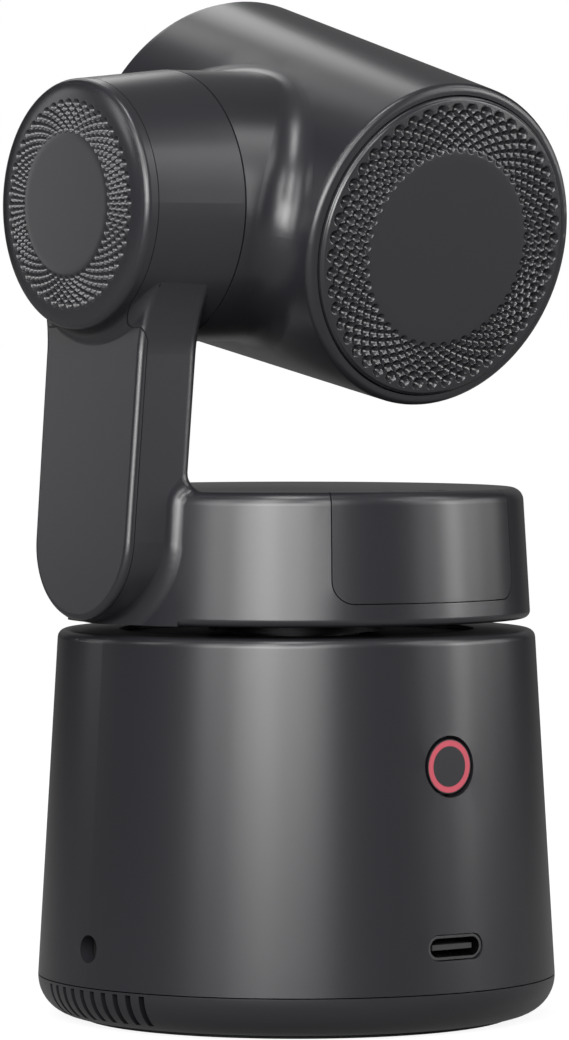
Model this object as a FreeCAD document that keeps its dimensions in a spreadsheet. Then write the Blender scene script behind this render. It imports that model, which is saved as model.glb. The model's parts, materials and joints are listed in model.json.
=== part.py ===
"""Pan-tilt streaming camera: a tapered base, a turning turret with one arm, and a tilting head.

Millimetres. The origin is the centre of the foot, +Z is up, the lens looks along -Y and the
arm stands on the +X side. The head is drawn as it rests, with the lens tipped up.
"""
import FreeCAD, Part
import math
import os
import Sketcher

V = FreeCAD.Vector
X, Y, Z = V(1, 0, 0), V(0, 1, 0), V(0, 0, 1)
doc = FreeCAD.newDocument("StreamingCamera")
sheet = doc.addObject("Spreadsheet::Sheet", "Sizes")

DRIVING = {
    # base
    "base_radius": 35.0, "base_top_radius": 32.25, "base_height": 52.5, "base_wall": 2.0,
    "base_deck": 2.0, "deck_opening": 24.0, "base_edge_round": 1.2,
    "seam_height": 5.95, "seam_gap": 0.15, "bottom_round": 5.2, "bottom_wall": 2.0,
    "foot_height": 0.5, "foot_outer": 29.2, "foot_inner": 24.2, "foot_depth": 0.8,
    "lip_wall": 1.4, "insert_roof": 1.2,
    "vent_count": 10, "vent_pitch": 3.77, "vent_width": 0.9, "vent_low": 1.4,
    "vent_depth": 4.4,
    "tripod_bore": 3.175, "tripod_insert_radius": 5.0, "tripod_depth": 9.0,
    "tripod_boss_wall": 2.0,
    "screw_circle": 27.0, "screw_radius": 1.0, "screw_head": 1.9, "screw_head_height": 1.1,
    "screw_boss": 2.7, "screw_boss_height": 9.0,
    # electronics in the base
    "board_thickness": 1.2, "board_radius": 23.2, "board_clearance": 0.4,
    "standoff_radius": 2.4, "standoff_circle": 19.0,
    "shield_length": 11.6, "shield_width": 12.0, "shield_tall": 1.8, "shield_gap": 1.0,
    "usb_height": 11.9, "usb_width": 8.9, "usb_tall": 3.2, "usb_length": 7.6,
    "usb_metal": 0.35, "jack_height": 11.0, "jack_radius": 1.85, "jack_body": 6.0,
    "jack_length": 12.0,
    "battery_long": 44.0, "battery_wide": 28.0, "battery_tall": 15.0, "battery_round": 3.0,
    "battery_base": 17.2, "bracket_plate": 1.4, "bracket_lip": 7.0,
    "light_height": 35.5, "light_radius": 1.0,
    # power button
    "button_height": 35.55, "button_hole": 4.08, "button_radius": 3.58, "ring_inner": 2.6,
    "button_travel": 0.6, "button_play": 0.1, "button_flange": 0.8,
    "button_flange_thick": 0.55, "flange_clearance": 0.26, "post_bite": 0.6,
    "switch_size": 5.0, "switch_tall": 1.9,
    # pan drive
    "shaft_radius": 7.5, "shaft_bore": 5.0, "pan_bearing_radius": 10.5,
    "pan_bearing_width": 4.0, "pan_ball": 1.0, "race_gap": 0.4, "ball_clearance": 0.03,
    "pan_bearing_base": 44.6, "bearing_tube_wall": 2.0, "pan_tube_base": 40.2,
    "stator_outer": 20.0, "stator_height": 6.0, "stator_back": 1.6, "stator_shoe": 1.3,
    "pan_slots": 12, "air_gap": 0.6, "magnet_thick": 1.6, "rotor_wall": 1.4,
    "pan_tooth": 2.0, "pan_wire": 1.2,
    "rotor_clearance": 1.3, "pan_magnets": 14, "deck_plate": 2.0, "deck_rise": 1.4,
    # turret
    "turret_gap": 1.5, "turret_height": 17.6, "turret_radius": 31.66,
    "turret_top_radius": 30.6, "turret_wall": 2.6, "turret_round": 1.8, "floor_thick": 1.8,
    "turret_low_round": 1.0, "low_round_sweep": 314.0,
    "shaft_flange": 12.0,
    "flap_half_angle": 28.8, "flap_gap": 0.15, "flap_low": 57.1, "flap_wall": 1.3,
    "flap_lip": 27.0, "flap_corner": 3.0, "flap_travel": 12.0, "notch_width": 11.0,
    "notch_deep": 1.6, "notch_reach": 3.0,
    "bay_depth": 3.2, "bay_wall": 1.2, "bay_half_angle": 20.5, "bay_low": 58.5,
    "bay_high": 67.5, "floor_screw_circle": 9.7, "deck_screw_circle": 26.7,
    "cover_screw_circle": 9.0,
    # arm
    "tilt_height": 109.37, "arm_half_width": 11.95, "arm_foot": 53.1, "arm_thick": 9.2,
    "arm_outer_low": 36.83, "arm_lean": 4.45, "arm_flare": 17.0, "arm_root_round": 2.4,
    "arm_outer_round": 0.8, "arm_inner_round": 1.5, "flare_dip": 0.05,
    "housing_inner_x": 22.25, "housing_outer_x": 37.2, "housing_inner_radius": 18.06,
    "housing_outer_radius": 16.5, "disc_round": 1.0, "housing_root_round": 1.8,
    "cover_depth": 1.0, "disc_depth": 1.9, "cover_web": 0.8, "cover_gap": 0.12,
    "housing_back": 33.4,
    # tilt drive
    "tilt_shaft": 3.0, "tilt_bearing_radius": 6.0, "tilt_bearing_width": 2.6,
    "tilt_ball": 0.8, "tilt_tube": 7.4, "tilt_mount_thick": 1.6, "tilt_stator_outer": 11.6,
    "tilt_slots": 9, "tilt_magnets": 12, "tilt_back": 1.2, "tilt_shoe": 1.0,
    "tilt_tooth": 1.6, "tilt_wire": 0.8, "tilt_rotor_wall": 1.1, "tilt_rotor_disc": 1.2,
    # head
    "rest_tilt": 13.0, "barrel_offset": 6.3, "barrel_front": 24.6, "barrel_rear": 24.0,
    "barrel_front_radius": 23.8, "barrel_rear_radius": 21.85, "barrel_bore": 19.6,
    "barrel_rim_round": 1.0, "neck_radius": 18.06, "neck_end_x": 22.0, "neck_blend": 5.0,
    "neck_wall": 2.6, "front_seat": 22.4, "front_seat_depth": 2.6, "cap_seat": 20.45,
    "cap_seat_depth": 2.8, "cap_gap": 0.12,
    "bezel_radius": 23.5, "bezel_front": 1.0, "glass_radius": 21.0, "glass_thick": 1.2,
    "baffle_thick": 1.0, "lens_hole": 9.4,
    "lens_barrel_wall": 1.6, "lens_barrel_rear": 4.0,
    "front_lens_dome": 2.2, "sensor_width": 10.0, "sensor_tall": 8.0, "chip_thick": 1.4,
    "processor_face": 5.0, "sink_size": 22.0,
    # dimpled caps
    "dimple_count": 48, "big_rows": 8, "big_first": 13.5, "big_last": 18.6, "big_edge": 20.25,
    "big_crown": 1.3, "big_height": 3.4, "dimple_depth": 0.5,
    "small_rows": 7, "small_first": 9.85, "small_last": 13.25, "small_edge": 15.0,
    "small_crown": 1.19, "small_height": 0.8, "small_seat": 0.5,
}


class Size:
    """A length, angle or count that also knows the spreadsheet expression it comes from."""

    def __init__(self, value, text):
        self.value = float(value)
        self.text = text

    def join(self, other, sign, value, swap=False):
        text = other.text if isinstance(other, Size) else repr(float(other))
        pair = (text, self.text) if swap else (self.text, text)
        return Size(value, "(%s %s %s)" % (pair[0], sign, pair[1]))

    def __add__(self, other):
        return self.join(other, "+", self.value + number(other))

    def __radd__(self, other):
        return self.join(other, "+", number(other) + self.value, True)

    def __sub__(self, other):
        return self.join(other, "-", self.value - number(other))

    def __rsub__(self, other):
        return self.join(other, "-", number(other) - self.value, True)

    def __mul__(self, other):
        return self.join(other, "*", self.value * number(other))

    def __rmul__(self, other):
        return self.join(other, "*", number(other) * self.value, True)

    def __truediv__(self, other):
        return self.join(other, "/", self.value / number(other))

    def __rtruediv__(self, other):
        return self.join(other, "/", number(other) / self.value, True)

    def __neg__(self):
        return Size(-self.value, "(0 - %s)" % self.text)


def number(size):
    return size.value if isinstance(size, Size) else float(size)


def root(size):
    return Size(math.sqrt(size.value), "sqrt(%s)" % size.text)


def cosine(angle):
    return Size(math.cos(math.radians(angle.value)), "cos(%s * 1 deg)" % angle.text)


def sine(angle):
    return Size(math.sin(math.radians(angle.value)), "sin(%s * 1 deg)" % angle.text)


def tangent(angle):
    return Size(math.tan(math.radians(angle.value)), "tan(%s * 1 deg)" % angle.text)


class Sheet:
    """Gives each cell of the spreadsheet as a Size, by its alias."""

    def __getattr__(self, alias):
        return Size(sheet.get(alias), "Sizes." + alias)


s = Sheet()


def fill_sheet():
    for row, (alias, value) in enumerate(DRIVING.items(), start=1):
        sheet.set("A%d" % row, alias)
        sheet.set("B%d" % row, str(value))
        sheet.setAlias("B%d" % row, alias)
    doc.recompute()


# Frames that the sub-parts are drawn in

def frame_of(frame):
    """base stands at the origin, arm on the tilt axis, and barrel on the tipped barrel axis."""
    if frame == "base":
        return FreeCAD.Placement()
    if frame == "arm":
        return FreeCAD.Placement(V(0, 0, s.tilt_height.value), FreeCAD.Rotation())
    return FreeCAD.Placement(V(-s.barrel_offset.value, 0, s.tilt_height.value),
                             FreeCAD.Rotation(V(1, 0, 0), -s.rest_tilt.value))


def place(body, frame):
    """Puts a body in its frame and binds the frame to the sheet."""
    body.Placement = frame_of(frame)
    if frame != "base":
        body.setExpression("Placement.Base.z", "Sizes.tilt_height")
    if frame == "barrel":
        body.setExpression("Placement.Base.x", "0 - Sizes.barrel_offset")
        body.setExpression("Placement.Rotation.Angle", "(0 - Sizes.rest_tilt) * 1 deg")


def new_body(label, frame="base"):
    body = doc.addObject("PartDesign::Body", label)
    body.Label = label
    body.AllowCompound = True
    place(body, frame)
    return body


def origin_of(body, role):
    return [item for item in body.Origin.OriginFeatures if item.Role == role][0]


# Sketches

def new_sketch(body, name, plane, level=0, turn=0):
    """A sketch on an origin plane, moved to a level along the third axis of the body."""
    sketch = body.newObject("Sketcher::SketchObject", name)
    sketch.AttachmentSupport = [(origin_of(body, plane), "")]
    sketch.MapMode = "FlatFace"
    sideways = plane != "XY_Plane"
    away = 0.0 - level if plane == "XZ_Plane" else level
    spin = FreeCAD.Rotation(V(0, 1, 0) if sideways else V(0, 0, 1), number(turn))
    shift = V(0, 0, number(away))
    if isinstance(turn, Size) and sideways:
        across, away = away * sine(turn), away * cosine(turn)
        shift = V(across.value, 0, away.value)
        sketch.setExpression("AttachmentOffset.Base.x", across.text)
    sketch.AttachmentOffset = FreeCAD.Placement(shift, spin)
    if isinstance(away, Size):
        sketch.setExpression("AttachmentOffset.Base.z", away.text)
    if isinstance(turn, Size):
        sketch.setExpression("AttachmentOffset.Rotation.Angle", "%s * 1 deg" % turn.text)
    return sketch


def hold(sketch, kind, *where):
    """A dimension whose value is the last argument; a Size stays bound to the sheet."""
    size = where[-1]
    index = sketch.addConstraint(Sketcher.Constraint(kind, *where[:-1], number(size)))
    if isinstance(size, Size):
        sketch.setExpression("Constraints[%d]" % index, size.text)
    return index


def pin(sketch, edge, end, across, up):
    """Fixes one point of a sketch edge by its distances from the sketch's origin."""
    hold(sketch, "DistanceX", -1, 1, edge, end, across)
    hold(sketch, "DistanceY", -1, 1, edge, end, up)


def outline(sketch, corners):
    """A closed outline. A corner is (across, up), or (across, up, bow): the edge that leaves
    it is then an arc whose middle stands that far to the left of its chord."""
    spots = [V(number(corner[0]), number(corner[1]), 0) for corner in corners]
    ends = []
    for i, corner in enumerate(corners):
        start, stop = spots[i], spots[(i + 1) % len(spots)]
        if len(corner) == 2:
            edge = sketch.addGeometry(Part.LineSegment(start, stop), False)
            ends.append((edge, 1, 2))
            continue
        bow = corner[2]
        left = V(start.y - stop.y, stop.x - start.x, 0).normalize()
        middle = (start + stop) * 0.5 + left * number(bow)
        edge = sketch.addGeometry(Part.Arc(start, middle, stop), False)
        forward = sketch.getPoint(edge, 1).distanceToPoint(start) < 1e-6
        ends.append((edge, 1, 2) if forward else (edge, 2, 1))
    for i, (edge, start, stop) in enumerate(ends):
        after = ends[(i + 1) % len(ends)]
        sketch.addConstraint(Sketcher.Constraint("Coincident", edge, stop, after[0], after[1]))
    for i, ((edge, start, stop), corner) in enumerate(zip(ends, corners)):
        pin(sketch, edge, start, corner[0], corner[1])
        if len(corner) == 3:
            hold_bow(sketch, edge, corner, corners[(i + 1) % len(corners)])


def hold_bow(sketch, edge, corner, after):
    """Fixes an arc between two held ends by one distance of its centre."""
    across, up, bow = after[0] - corner[0], after[1] - corner[1], corner[2]
    chord = across * across + up * up
    lift = (bow * bow - chord / 4.0) / (2.0 * bow * root(chord))
    if abs(number(up)) > abs(number(across)):
        hold(sketch, "DistanceX", -1, 1, edge, 3, (corner[0] + after[0]) / 2.0 - up * lift)
    else:
        hold(sketch, "DistanceY", -1, 1, edge, 3, (corner[1] + after[1]) / 2.0 + across * lift)


def circles(sketch, spots):
    """Circles given as (across, up, radius)."""
    for across, up, radius in spots:
        circle = Part.Circle(V(number(across), number(up), 0), Z, number(radius))
        edge = sketch.addGeometry(circle, False)
        pin(sketch, edge, 3, across, up)
        hold(sketch, "Radius", edge, radius)


def rectangle(sketch, left, right, low, high):
    outline(sketch, [(left, low), (right, low), (right, high), (left, high)])


def slot(sketch, across, up, length, tall):
    """A slot with round ends, centred, with its length along the sketch's X."""
    half = (length - tall) / 2.0
    radius = tall / 2.0
    a, b, r = number(half), number(up), number(radius)
    c = number(across)
    low = sketch.addGeometry(Part.LineSegment(V(c - a, b - r, 0), V(c + a, b - r, 0)), False)
    right = sketch.addGeometry(Part.ArcOfCircle(
        Part.Circle(V(c + a, b, 0), Z, r), -math.pi / 2, math.pi / 2), False)
    high = sketch.addGeometry(Part.LineSegment(V(c + a, b + r, 0), V(c - a, b + r, 0)), False)
    left = sketch.addGeometry(Part.ArcOfCircle(
        Part.Circle(V(c - a, b, 0), Z, r), math.pi / 2, 3 * math.pi / 2), False)
    joints = ((low, 2, right, 1), (right, 2, high, 1), (high, 2, left, 1), (left, 2, low, 1))
    for one, end, two, start in joints:
        sketch.addConstraint(Sketcher.Constraint("Tangent", one, end, two, start))
    sketch.addConstraint(Sketcher.Constraint("Equal", left, right))
    pin(sketch, right, 3, across + half, up)
    pin(sketch, left, 3, across - half, up)
    hold(sketch, "Radius", right, radius)


# Features

SPIN = {"Z": ("XZ_Plane", "V_Axis"), "X": ("XY_Plane", "H_Axis"), "Y": ("XY_Plane", "V_Axis")}


def spun(body, name, axis, profile, cut=False, sweep=360.0, plane=None, level=0):
    """Turns an outline of (radius, place along the axis) about an axis of the body."""
    default_plane, sketch_axis = SPIN[axis]
    sketch = new_sketch(body, name + "Outline", plane or default_plane, level)
    corners = profile
    if axis == "X":
        corners = [(c[1], c[0]) + tuple(0.0 - bow for bow in c[2:]) for c in profile]
    outline(sketch, corners)
    feature = body.newObject("PartDesign::Groove" if cut else "PartDesign::Revolution", name)
    feature.Profile = sketch
    feature.ReferenceAxis = (sketch, [sketch_axis])
    feature.Angle = number(sweep)
    if isinstance(sweep, Size):
        feature.setExpression("Angle", sweep.text)
    feature.Midplane = number(sweep) < 360
    return finish(body, feature)


def block(body, name, plane, draw, low, high, cut=False, turn=0):
    """Pads or pockets what draw(sketch) puts on a plane, from low to high along the third axis."""
    start = high if (plane == "XZ_Plane") != cut else low
    sketch = new_sketch(body, name + "Outline", plane, start, turn)
    draw(sketch)
    feature = body.newObject("PartDesign::Pocket" if cut else "PartDesign::Pad", name)
    feature.Profile = sketch
    length = high - low
    feature.Length = number(length)
    if isinstance(length, Size):
        feature.setExpression("Length", length.text)
    return finish(body, feature)


def ring_of(body, name, features, count, axis="Z_Axis", sweep=360):
    pattern = body.newObject("PartDesign::PolarPattern", name)
    pattern.Originals = features
    pattern.Axis = (origin_of(body, axis), [""])
    pattern.Angle = number(sweep)
    if isinstance(sweep, Size):
        pattern.setExpression("Angle", sweep.text)
    pattern.Occurrences = int(number(count))
    if isinstance(count, Size):
        pattern.setExpression("Occurrences", count.text)
    return finish(body, pattern)


def mirrored(body, name, features, plane):
    mirror = body.newObject("PartDesign::Mirrored", name)
    mirror.Originals = features
    mirror.MirrorPlane = (origin_of(body, plane), [""])
    return finish(body, mirror)


def finish(body, feature):
    body.Tip = feature
    doc.recompute()
    if "Invalid" in feature.State or "Error" in feature.State or feature.Shape.isNull():
        raise RuntimeError("%s of %s failed: %s" % (feature.Name, body.Label, feature.State))
    return feature


def rounded(body, name, radius, wanted):
    """Rounds the edges of the tip that the test wanted(edge) picks."""
    tip = body.Tip
    names = ["Edge%d" % (i + 1) for i, edge in enumerate(tip.Shape.Edges) if wanted(edge)]
    if not names:
        raise RuntimeError("%s of %s finds no edge" % (name, body.Label))
    feature = body.newObject("PartDesign::Fillet", name)
    feature.Base = (tip, names)
    feature.Radius = number(radius)
    if isinstance(radius, Size):
        feature.setExpression("Radius", radius.text)
    return finish(body, feature)


def hoop(axis, level, radius):
    """Picks round edges about an axis of the body, at a level along it and of a radius."""
    def wanted(edge):
        curve = edge.Curve
        if not isinstance(curve, Part.Circle):
            return False
        along = curve.Center.dot(axis)
        apart = (curve.Center - axis * along).Length
        near = abs(along - number(level)) < 0.02
        return near and apart < 0.02 and abs(curve.Radius - number(radius)) < 0.02
    return wanted


def radial_edge(level):
    """Picks straight edges that point away from the Z axis at a level."""
    def wanted(edge):
        if not isinstance(edge.Curve, Part.Line):
            return False
        start, stop = edge.Vertexes[0].Point, edge.Vertexes[-1].Point
        flat = max(abs(start.z - number(level)), abs(stop.z - number(level))) < 0.01
        return flat and V(start.x, start.y, 0).cross(V(stop.x, stop.y, 0)).Length < 0.01
    return wanted


def box_edges(low, high, along=None):
    """Picks edges that lie wholly inside a box, and run along a direction if one is given."""
    def wanted(edge):
        box = edge.BoundBox
        inside = (box.XMin > low[0] and box.YMin > low[1] and box.ZMin > low[2]
                  and box.XMax < high[0] and box.YMax < high[1] and box.ZMax < high[2])
        if not inside or along is None:
            return inside
        if not isinstance(edge.Curve, Part.Line):
            return False
        return abs(abs(edge.Curve.Direction.dot(along)) - 1) < 0.02
    return wanted


def tube(outer, inner, low, high):
    return [(inner, low), (outer, low), (outer, high), (inner, high)]


# Places worked out from the sizes

def sizes_between():
    """Levels and radii that more than one sub-part shares."""
    s.cover_floor = s.foot_height + s.bottom_wall
    s.board_low = s.usb_height - s.usb_tall / 2.0 - s.board_thickness
    s.board_high = s.board_low + s.board_thickness
    s.base_slope = (s.base_radius - s.base_top_radius) / (s.base_height - s.seam_height)
    s.deck_low = s.base_height - s.base_deck
    s.plate_low = s.deck_low - s.deck_plate
    s.deck_top = s.deck_low + s.deck_rise
    s.turret_base = s.base_height + s.turret_gap
    s.turret_top = s.turret_base + s.turret_height
    s.floor_low = s.turret_base + 0.3
    s.floor_high = s.floor_low + s.floor_thick
    s.pan_tube_radius = s.pan_bearing_radius + s.bearing_tube_wall
    s.pan_bearing_top = s.pan_bearing_base + s.pan_bearing_width
    s.pan_ball_circle = (s.pan_bearing_radius + s.shaft_radius) / 2.0
    s.pan_stator_low = s.pan_tube_base + 0.3
    s.pan_stator_high = s.pan_stator_low + s.stator_height
    s.pan_rotor_base = s.pan_stator_low - s.pan_wire - s.rotor_clearance - s.rotor_wall
    s.pan_magnet_inner = s.stator_outer + s.air_gap
    s.pan_magnet_outer = s.pan_magnet_inner + s.magnet_thick
    s.rotor_outer = s.pan_magnet_outer + s.rotor_wall
    s.lip_radius = s.base_radius - s.base_wall - 0.3
    s.lip_top = s.seam_height + 2.0
    s.lean = tangent(s.arm_lean)
    s.housing_draft = (s.housing_inner_radius - s.housing_outer_radius) / (
        s.housing_outer_x - s.housing_inner_x)
    s.tilt_bearing_x = s.housing_inner_x + 4.2
    s.tilt_mount_x = s.housing_back - s.tilt_mount_thick
    s.tilt_stator_low = s.tilt_bearing_x + 0.0
    s.tilt_stator_high = s.tilt_stator_low + 4.2
    s.tilt_magnet_inner = s.tilt_stator_outer + s.air_gap
    s.tilt_magnet_outer = s.tilt_magnet_inner + 1.0
    s.tilt_ball_circle = (s.tilt_bearing_radius + s.tilt_shaft) / 2.0
    s.housing_cavity = s.housing_outer_radius - 1.3
    s.screw_seat = s.foot_height + s.foot_depth + s.screw_head_height
    s.usb_front = wall_radius(s.usb_height) - 0.5
    s.jack_front = wall_radius(s.jack_height) - s.base_wall - 0.3
    flange_top = s.button_height + s.button_hole + s.button_flange
    s.button_seat = wall_radius(flange_top) - s.base_wall - s.flange_clearance
    s.button_back = s.button_seat - s.button_flange_thick
    s.button_board_face = s.button_back - s.button_play - s.button_travel - s.switch_tall
    s.button_face = wall_radius(s.button_height) - 0.25
    s.bay_floor = s.turret_radius - s.turret_wall - s.bay_depth
    s.cover_screw_seat = s.housing_outer_x - s.disc_depth + s.cover_web
    s.cover_screw_head = s.disc_depth - s.cover_web - s.small_seat
    s.leash_front = drum_radius(s.bay_high - 3.4) - s.flap_wall - 1.6
    s.leash_tail = s.bay_floor - s.bay_wall - 1.4 - s.flap_travel
    s.glass_back = 0.9 - s.barrel_front
    s.port_board_face = s.bay_floor - 6.0


def wall_radius(level):
    """Radius of the base's outer wall at a level."""
    return s.base_radius - (level - s.seam_height) * s.base_slope


# Base

def base_shell():
    body = new_body("base_shell")
    inner_low = s.base_radius - s.base_wall
    inner_high = s.base_top_radius - s.base_wall
    spun(body, "Wall", "Z", [
        (inner_low, s.seam_height), (s.base_radius, s.seam_height),
        (s.base_top_radius, s.base_height), (s.deck_opening, s.base_height),
        (s.deck_opening, s.deck_low), (inner_high, s.deck_low)])
    rounded(body, "TopRound", s.base_edge_round, hoop(Z, s.base_height, s.base_top_radius))
    boss = block(body, "ScrewBoss", "XY_Plane",
                 lambda k: circles(k, [(s.screw_circle, 0.0, s.screw_boss)]),
                 s.lip_top, s.lip_top + s.screw_boss_height, turn=45)
    rib = block(body, "BossRib", "XY_Plane",
                lambda k: rectangle(k, s.screw_circle, s.base_radius - s.base_wall * 1.2, -1.0, 1.0),
                s.lip_top, s.lip_top + s.screw_boss_height, turn=45)
    hole = block(body, "ScrewHole", "XY_Plane",
                 lambda k: circles(k, [(s.screw_circle, 0.0, s.screw_radius)]),
                 s.lip_top, s.lip_top + s.screw_boss_height * 0.8, cut=True, turn=45)
    ring_of(body, "Bosses", [boss, rib, hole], 4)
    block(body, "ButtonPosts", "XZ_Plane",
          lambda k: circles(k, [(-5.2, s.button_height - 5.0, 1.1), (5.2, s.button_height - 5.0, 1.1),
                                (-5.2, s.button_height + 5.0, 1.1), (5.2, s.button_height + 5.0, 1.1)]),
          s.button_board_face, wall_radius(s.button_height) - s.base_wall + s.post_bite)
    reach = s.base_radius + 2.0
    block(body, "ButtonHole", "XZ_Plane",
          lambda k: circles(k, [(0.0, s.button_height, s.button_hole)]),
          s.deck_opening + 2.0, reach, cut=True)
    block(body, "UsbOpening", "XZ_Plane",
          lambda k: slot(k, 0.0, s.usb_height, s.usb_width + 0.3, s.usb_tall + 0.3),
          s.deck_opening + 2.0, reach, cut=True)
    block(body, "JackHole", "YZ_Plane",
          lambda k: circles(k, [(0.0, s.jack_height, s.jack_radius)]),
          s.deck_opening + 2.0, reach, cut=True)
    block(body, "LightHole", "XZ_Plane",
          lambda k: circles(k, [(0.0, s.light_height, s.light_radius)]),
          -reach, -(s.deck_opening + 2.0), cut=True)
    hole = block(body, "DeckScrewHole", "XY_Plane",
                 lambda k: circles(k, [(s.deck_screw_circle, 0.0, s.screw_radius)]),
                 s.deck_low - 1.0, s.deck_low + 1.2, cut=True, turn=45)
    ring_of(body, "DeckScrewHoles", [hole], 4)
    return body


def bottom_cover():
    body = new_body("bottom_cover")
    bore = s.tripod_insert_radius
    boss = bore + s.tripod_boss_wall
    inner = s.lip_radius - s.lip_wall
    spun(body, "Tray", "Z", [
        (bore, s.foot_height), (s.base_radius, s.foot_height),
        (s.base_radius, s.seam_height - s.seam_gap), (s.lip_radius, s.seam_height - s.seam_gap),
        (s.lip_radius, s.lip_top), (inner, s.lip_top), (inner, s.cover_floor),
        (boss, s.cover_floor), (boss, s.tripod_depth), (bore, s.tripod_depth)])
    rounded(body, "BottomRound", s.bottom_round, hoop(Z, s.foot_height, s.base_radius))
    spun(body, "FootGroove", "Z",
         tube(s.foot_outer, s.foot_inner, 0.0, s.foot_height + s.foot_depth), cut=True)
    standoff = block(body, "Standoff", "XY_Plane",
                     lambda k: circles(k, [(s.standoff_circle, 0.0, s.standoff_radius)]),
                     s.cover_floor - 0.5, s.board_low, turn=45)
    post = block(body, "ScrewPost", "XY_Plane",
                 lambda k: circles(k, [(s.screw_circle, 0.0, s.screw_boss)]),
                 s.cover_floor - 0.5, s.lip_top, turn=45)
    ring_of(body, "Posts", [standoff, post], 4)
    hole = block(body, "ScrewHole", "XY_Plane",
                 lambda k: circles(k, [(s.screw_circle, 0.0, s.screw_radius)]),
                 -1.0 * s.foot_height, s.lip_top + 1.0, cut=True, turn=45)
    head = block(body, "ScrewHead", "XY_Plane",
                 lambda k: circles(k, [(s.screw_circle, 0.0, s.screw_head)]),
                 -1.0 * s.foot_height, s.screw_seat, cut=True, turn=45)
    ring_of(body, "Holes", [hole, head], 4)
    half = s.vent_width / 2.0
    vent = block(body, "Vent", "YZ_Plane",
                 lambda k: rectangle(k, -half, half, s.vent_low, s.seam_height - s.seam_gap - 0.3),
                 s.base_radius - s.vent_depth, s.base_radius + 1.0, cut=True,
                 turn=(1.0 - s.vent_count) * s.vent_pitch / 2.0)
    ring_of(body, "Vents", [vent], s.vent_count, sweep=(s.vent_count - 1.0) * s.vent_pitch)
    return body


def foot_ring():
    body = new_body("foot_ring")
    spun(body, "Ring", "Z", tube(s.foot_outer, s.foot_inner, 0.0, s.foot_height + s.foot_depth))
    rounded(body, "Edge", 0.25, hoop(Z, 0.0, s.foot_outer))
    return body


def tripod_insert():
    body = new_body("tripod_insert")
    spun(body, "Insert", "Z", [
        (s.tripod_bore, s.foot_height), (s.tripod_insert_radius, s.foot_height),
        (s.tripod_insert_radius, s.tripod_depth), (0.0, s.tripod_depth),
        (0.0, s.tripod_depth - s.insert_roof), (s.tripod_bore, s.tripod_depth - s.insert_roof)])
    return body


def screws(label, frame, plane, circle, count, seat, head_way, reach, turn=0, axis="Z_Axis",
           height=None):
    """Screws on a circle: heads on one side of their seat (head_way +1 or -1), shanks on the
    other."""
    body = new_body(label, frame)
    height = height or s.screw_head_height
    top = seat + height if head_way > 0 else seat
    base = seat if head_way > 0 else seat - height
    head = block(body, "Head", plane, lambda k: circles(k, [(circle, 0.0, s.screw_head)]),
                 base, top, turn=turn)
    low = seat - reach if head_way > 0 else seat
    high = seat if head_way > 0 else seat + reach
    shank = block(body, "Shank", plane, lambda k: circles(k, [(circle, 0.0, s.screw_radius)]),
                  low, high, turn=turn)
    ring_of(body, "Screws", [head, shank], count, axis)
    return body


def main_board():
    body = new_body("main_board")
    clear = s.tripod_insert_radius + s.tripod_boss_wall + s.board_clearance
    low, high = s.board_low, s.board_high
    block(body, "Disc", "XY_Plane",
          lambda k: circles(k, [(0.0, 0.0, s.board_radius), (0.0, 0.0, clear)]), low, high)
    block(body, "UsbTab", "XY_Plane",
          lambda k: rectangle(k, -7.0, 7.0, s.board_radius - 4.0, s.usb_front - 2.8), low, high)
    half = s.jack_body / 2.0
    block(body, "JackTab", "XY_Plane",
          lambda k: rectangle(k, s.board_radius - 4.0, s.jack_front - 2.0, -half - 3.0, half + 3.0),
          low, high)
    block(body, "JackNotch", "XY_Plane",
          lambda k: rectangle(k, s.jack_front - s.jack_length, s.jack_front + 1.0, -half, half),
          low, high, cut=True)
    return body


def wireless_shield():
    body = new_body("wireless_shield")
    near = s.tripod_insert_radius + s.tripod_boss_wall + s.board_clearance + s.shield_gap
    half = s.shield_width / 2.0
    block(body, "Can", "XY_Plane",
          lambda k: rectangle(k, -near - s.shield_length, -near, -half, half),
          s.board_high, s.board_high + s.shield_tall)
    return body


def usb_receptacle():
    body = new_body("usb_receptacle")

    def wall(sketch):
        slot(sketch, 0.0, s.usb_height, s.usb_width, s.usb_tall)
        slot(sketch, 0.0, s.usb_height, s.usb_width - 2.0 * s.usb_metal,
             s.usb_tall - 2.0 * s.usb_metal)
    block(body, "Shell", "XZ_Plane", wall, s.usb_front - s.usb_length, s.usb_front)
    block(body, "Back", "XZ_Plane",
          lambda k: slot(k, 0.0, s.usb_height, s.usb_width, s.usb_tall),
          s.usb_front - s.usb_length, s.usb_front - s.usb_length + 0.8)
    return body


def usb_tongue():
    body = new_body("usb_tongue")
    block(body, "Tongue", "XZ_Plane",
          lambda k: rectangle(k, -3.3, 3.3, s.usb_height - 0.35, s.usb_height + 0.35),
          s.usb_front - s.usb_length + 0.8, s.usb_front - 0.6)
    return body


def audio_jack():
    body = new_body("audio_jack")
    half = s.jack_body / 2.0
    back = s.jack_front - s.jack_length
    block(body, "Case", "YZ_Plane",
          lambda k: rectangle(k, -half, half, s.jack_height - 2.5, s.jack_height + 2.5),
          back, s.jack_front)
    block(body, "Bore", "YZ_Plane", lambda k: circles(k, [(0.0, s.jack_height, s.jack_radius)]),
          back + 1.0, s.jack_front + 1.0, cut=True)
    return body


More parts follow.
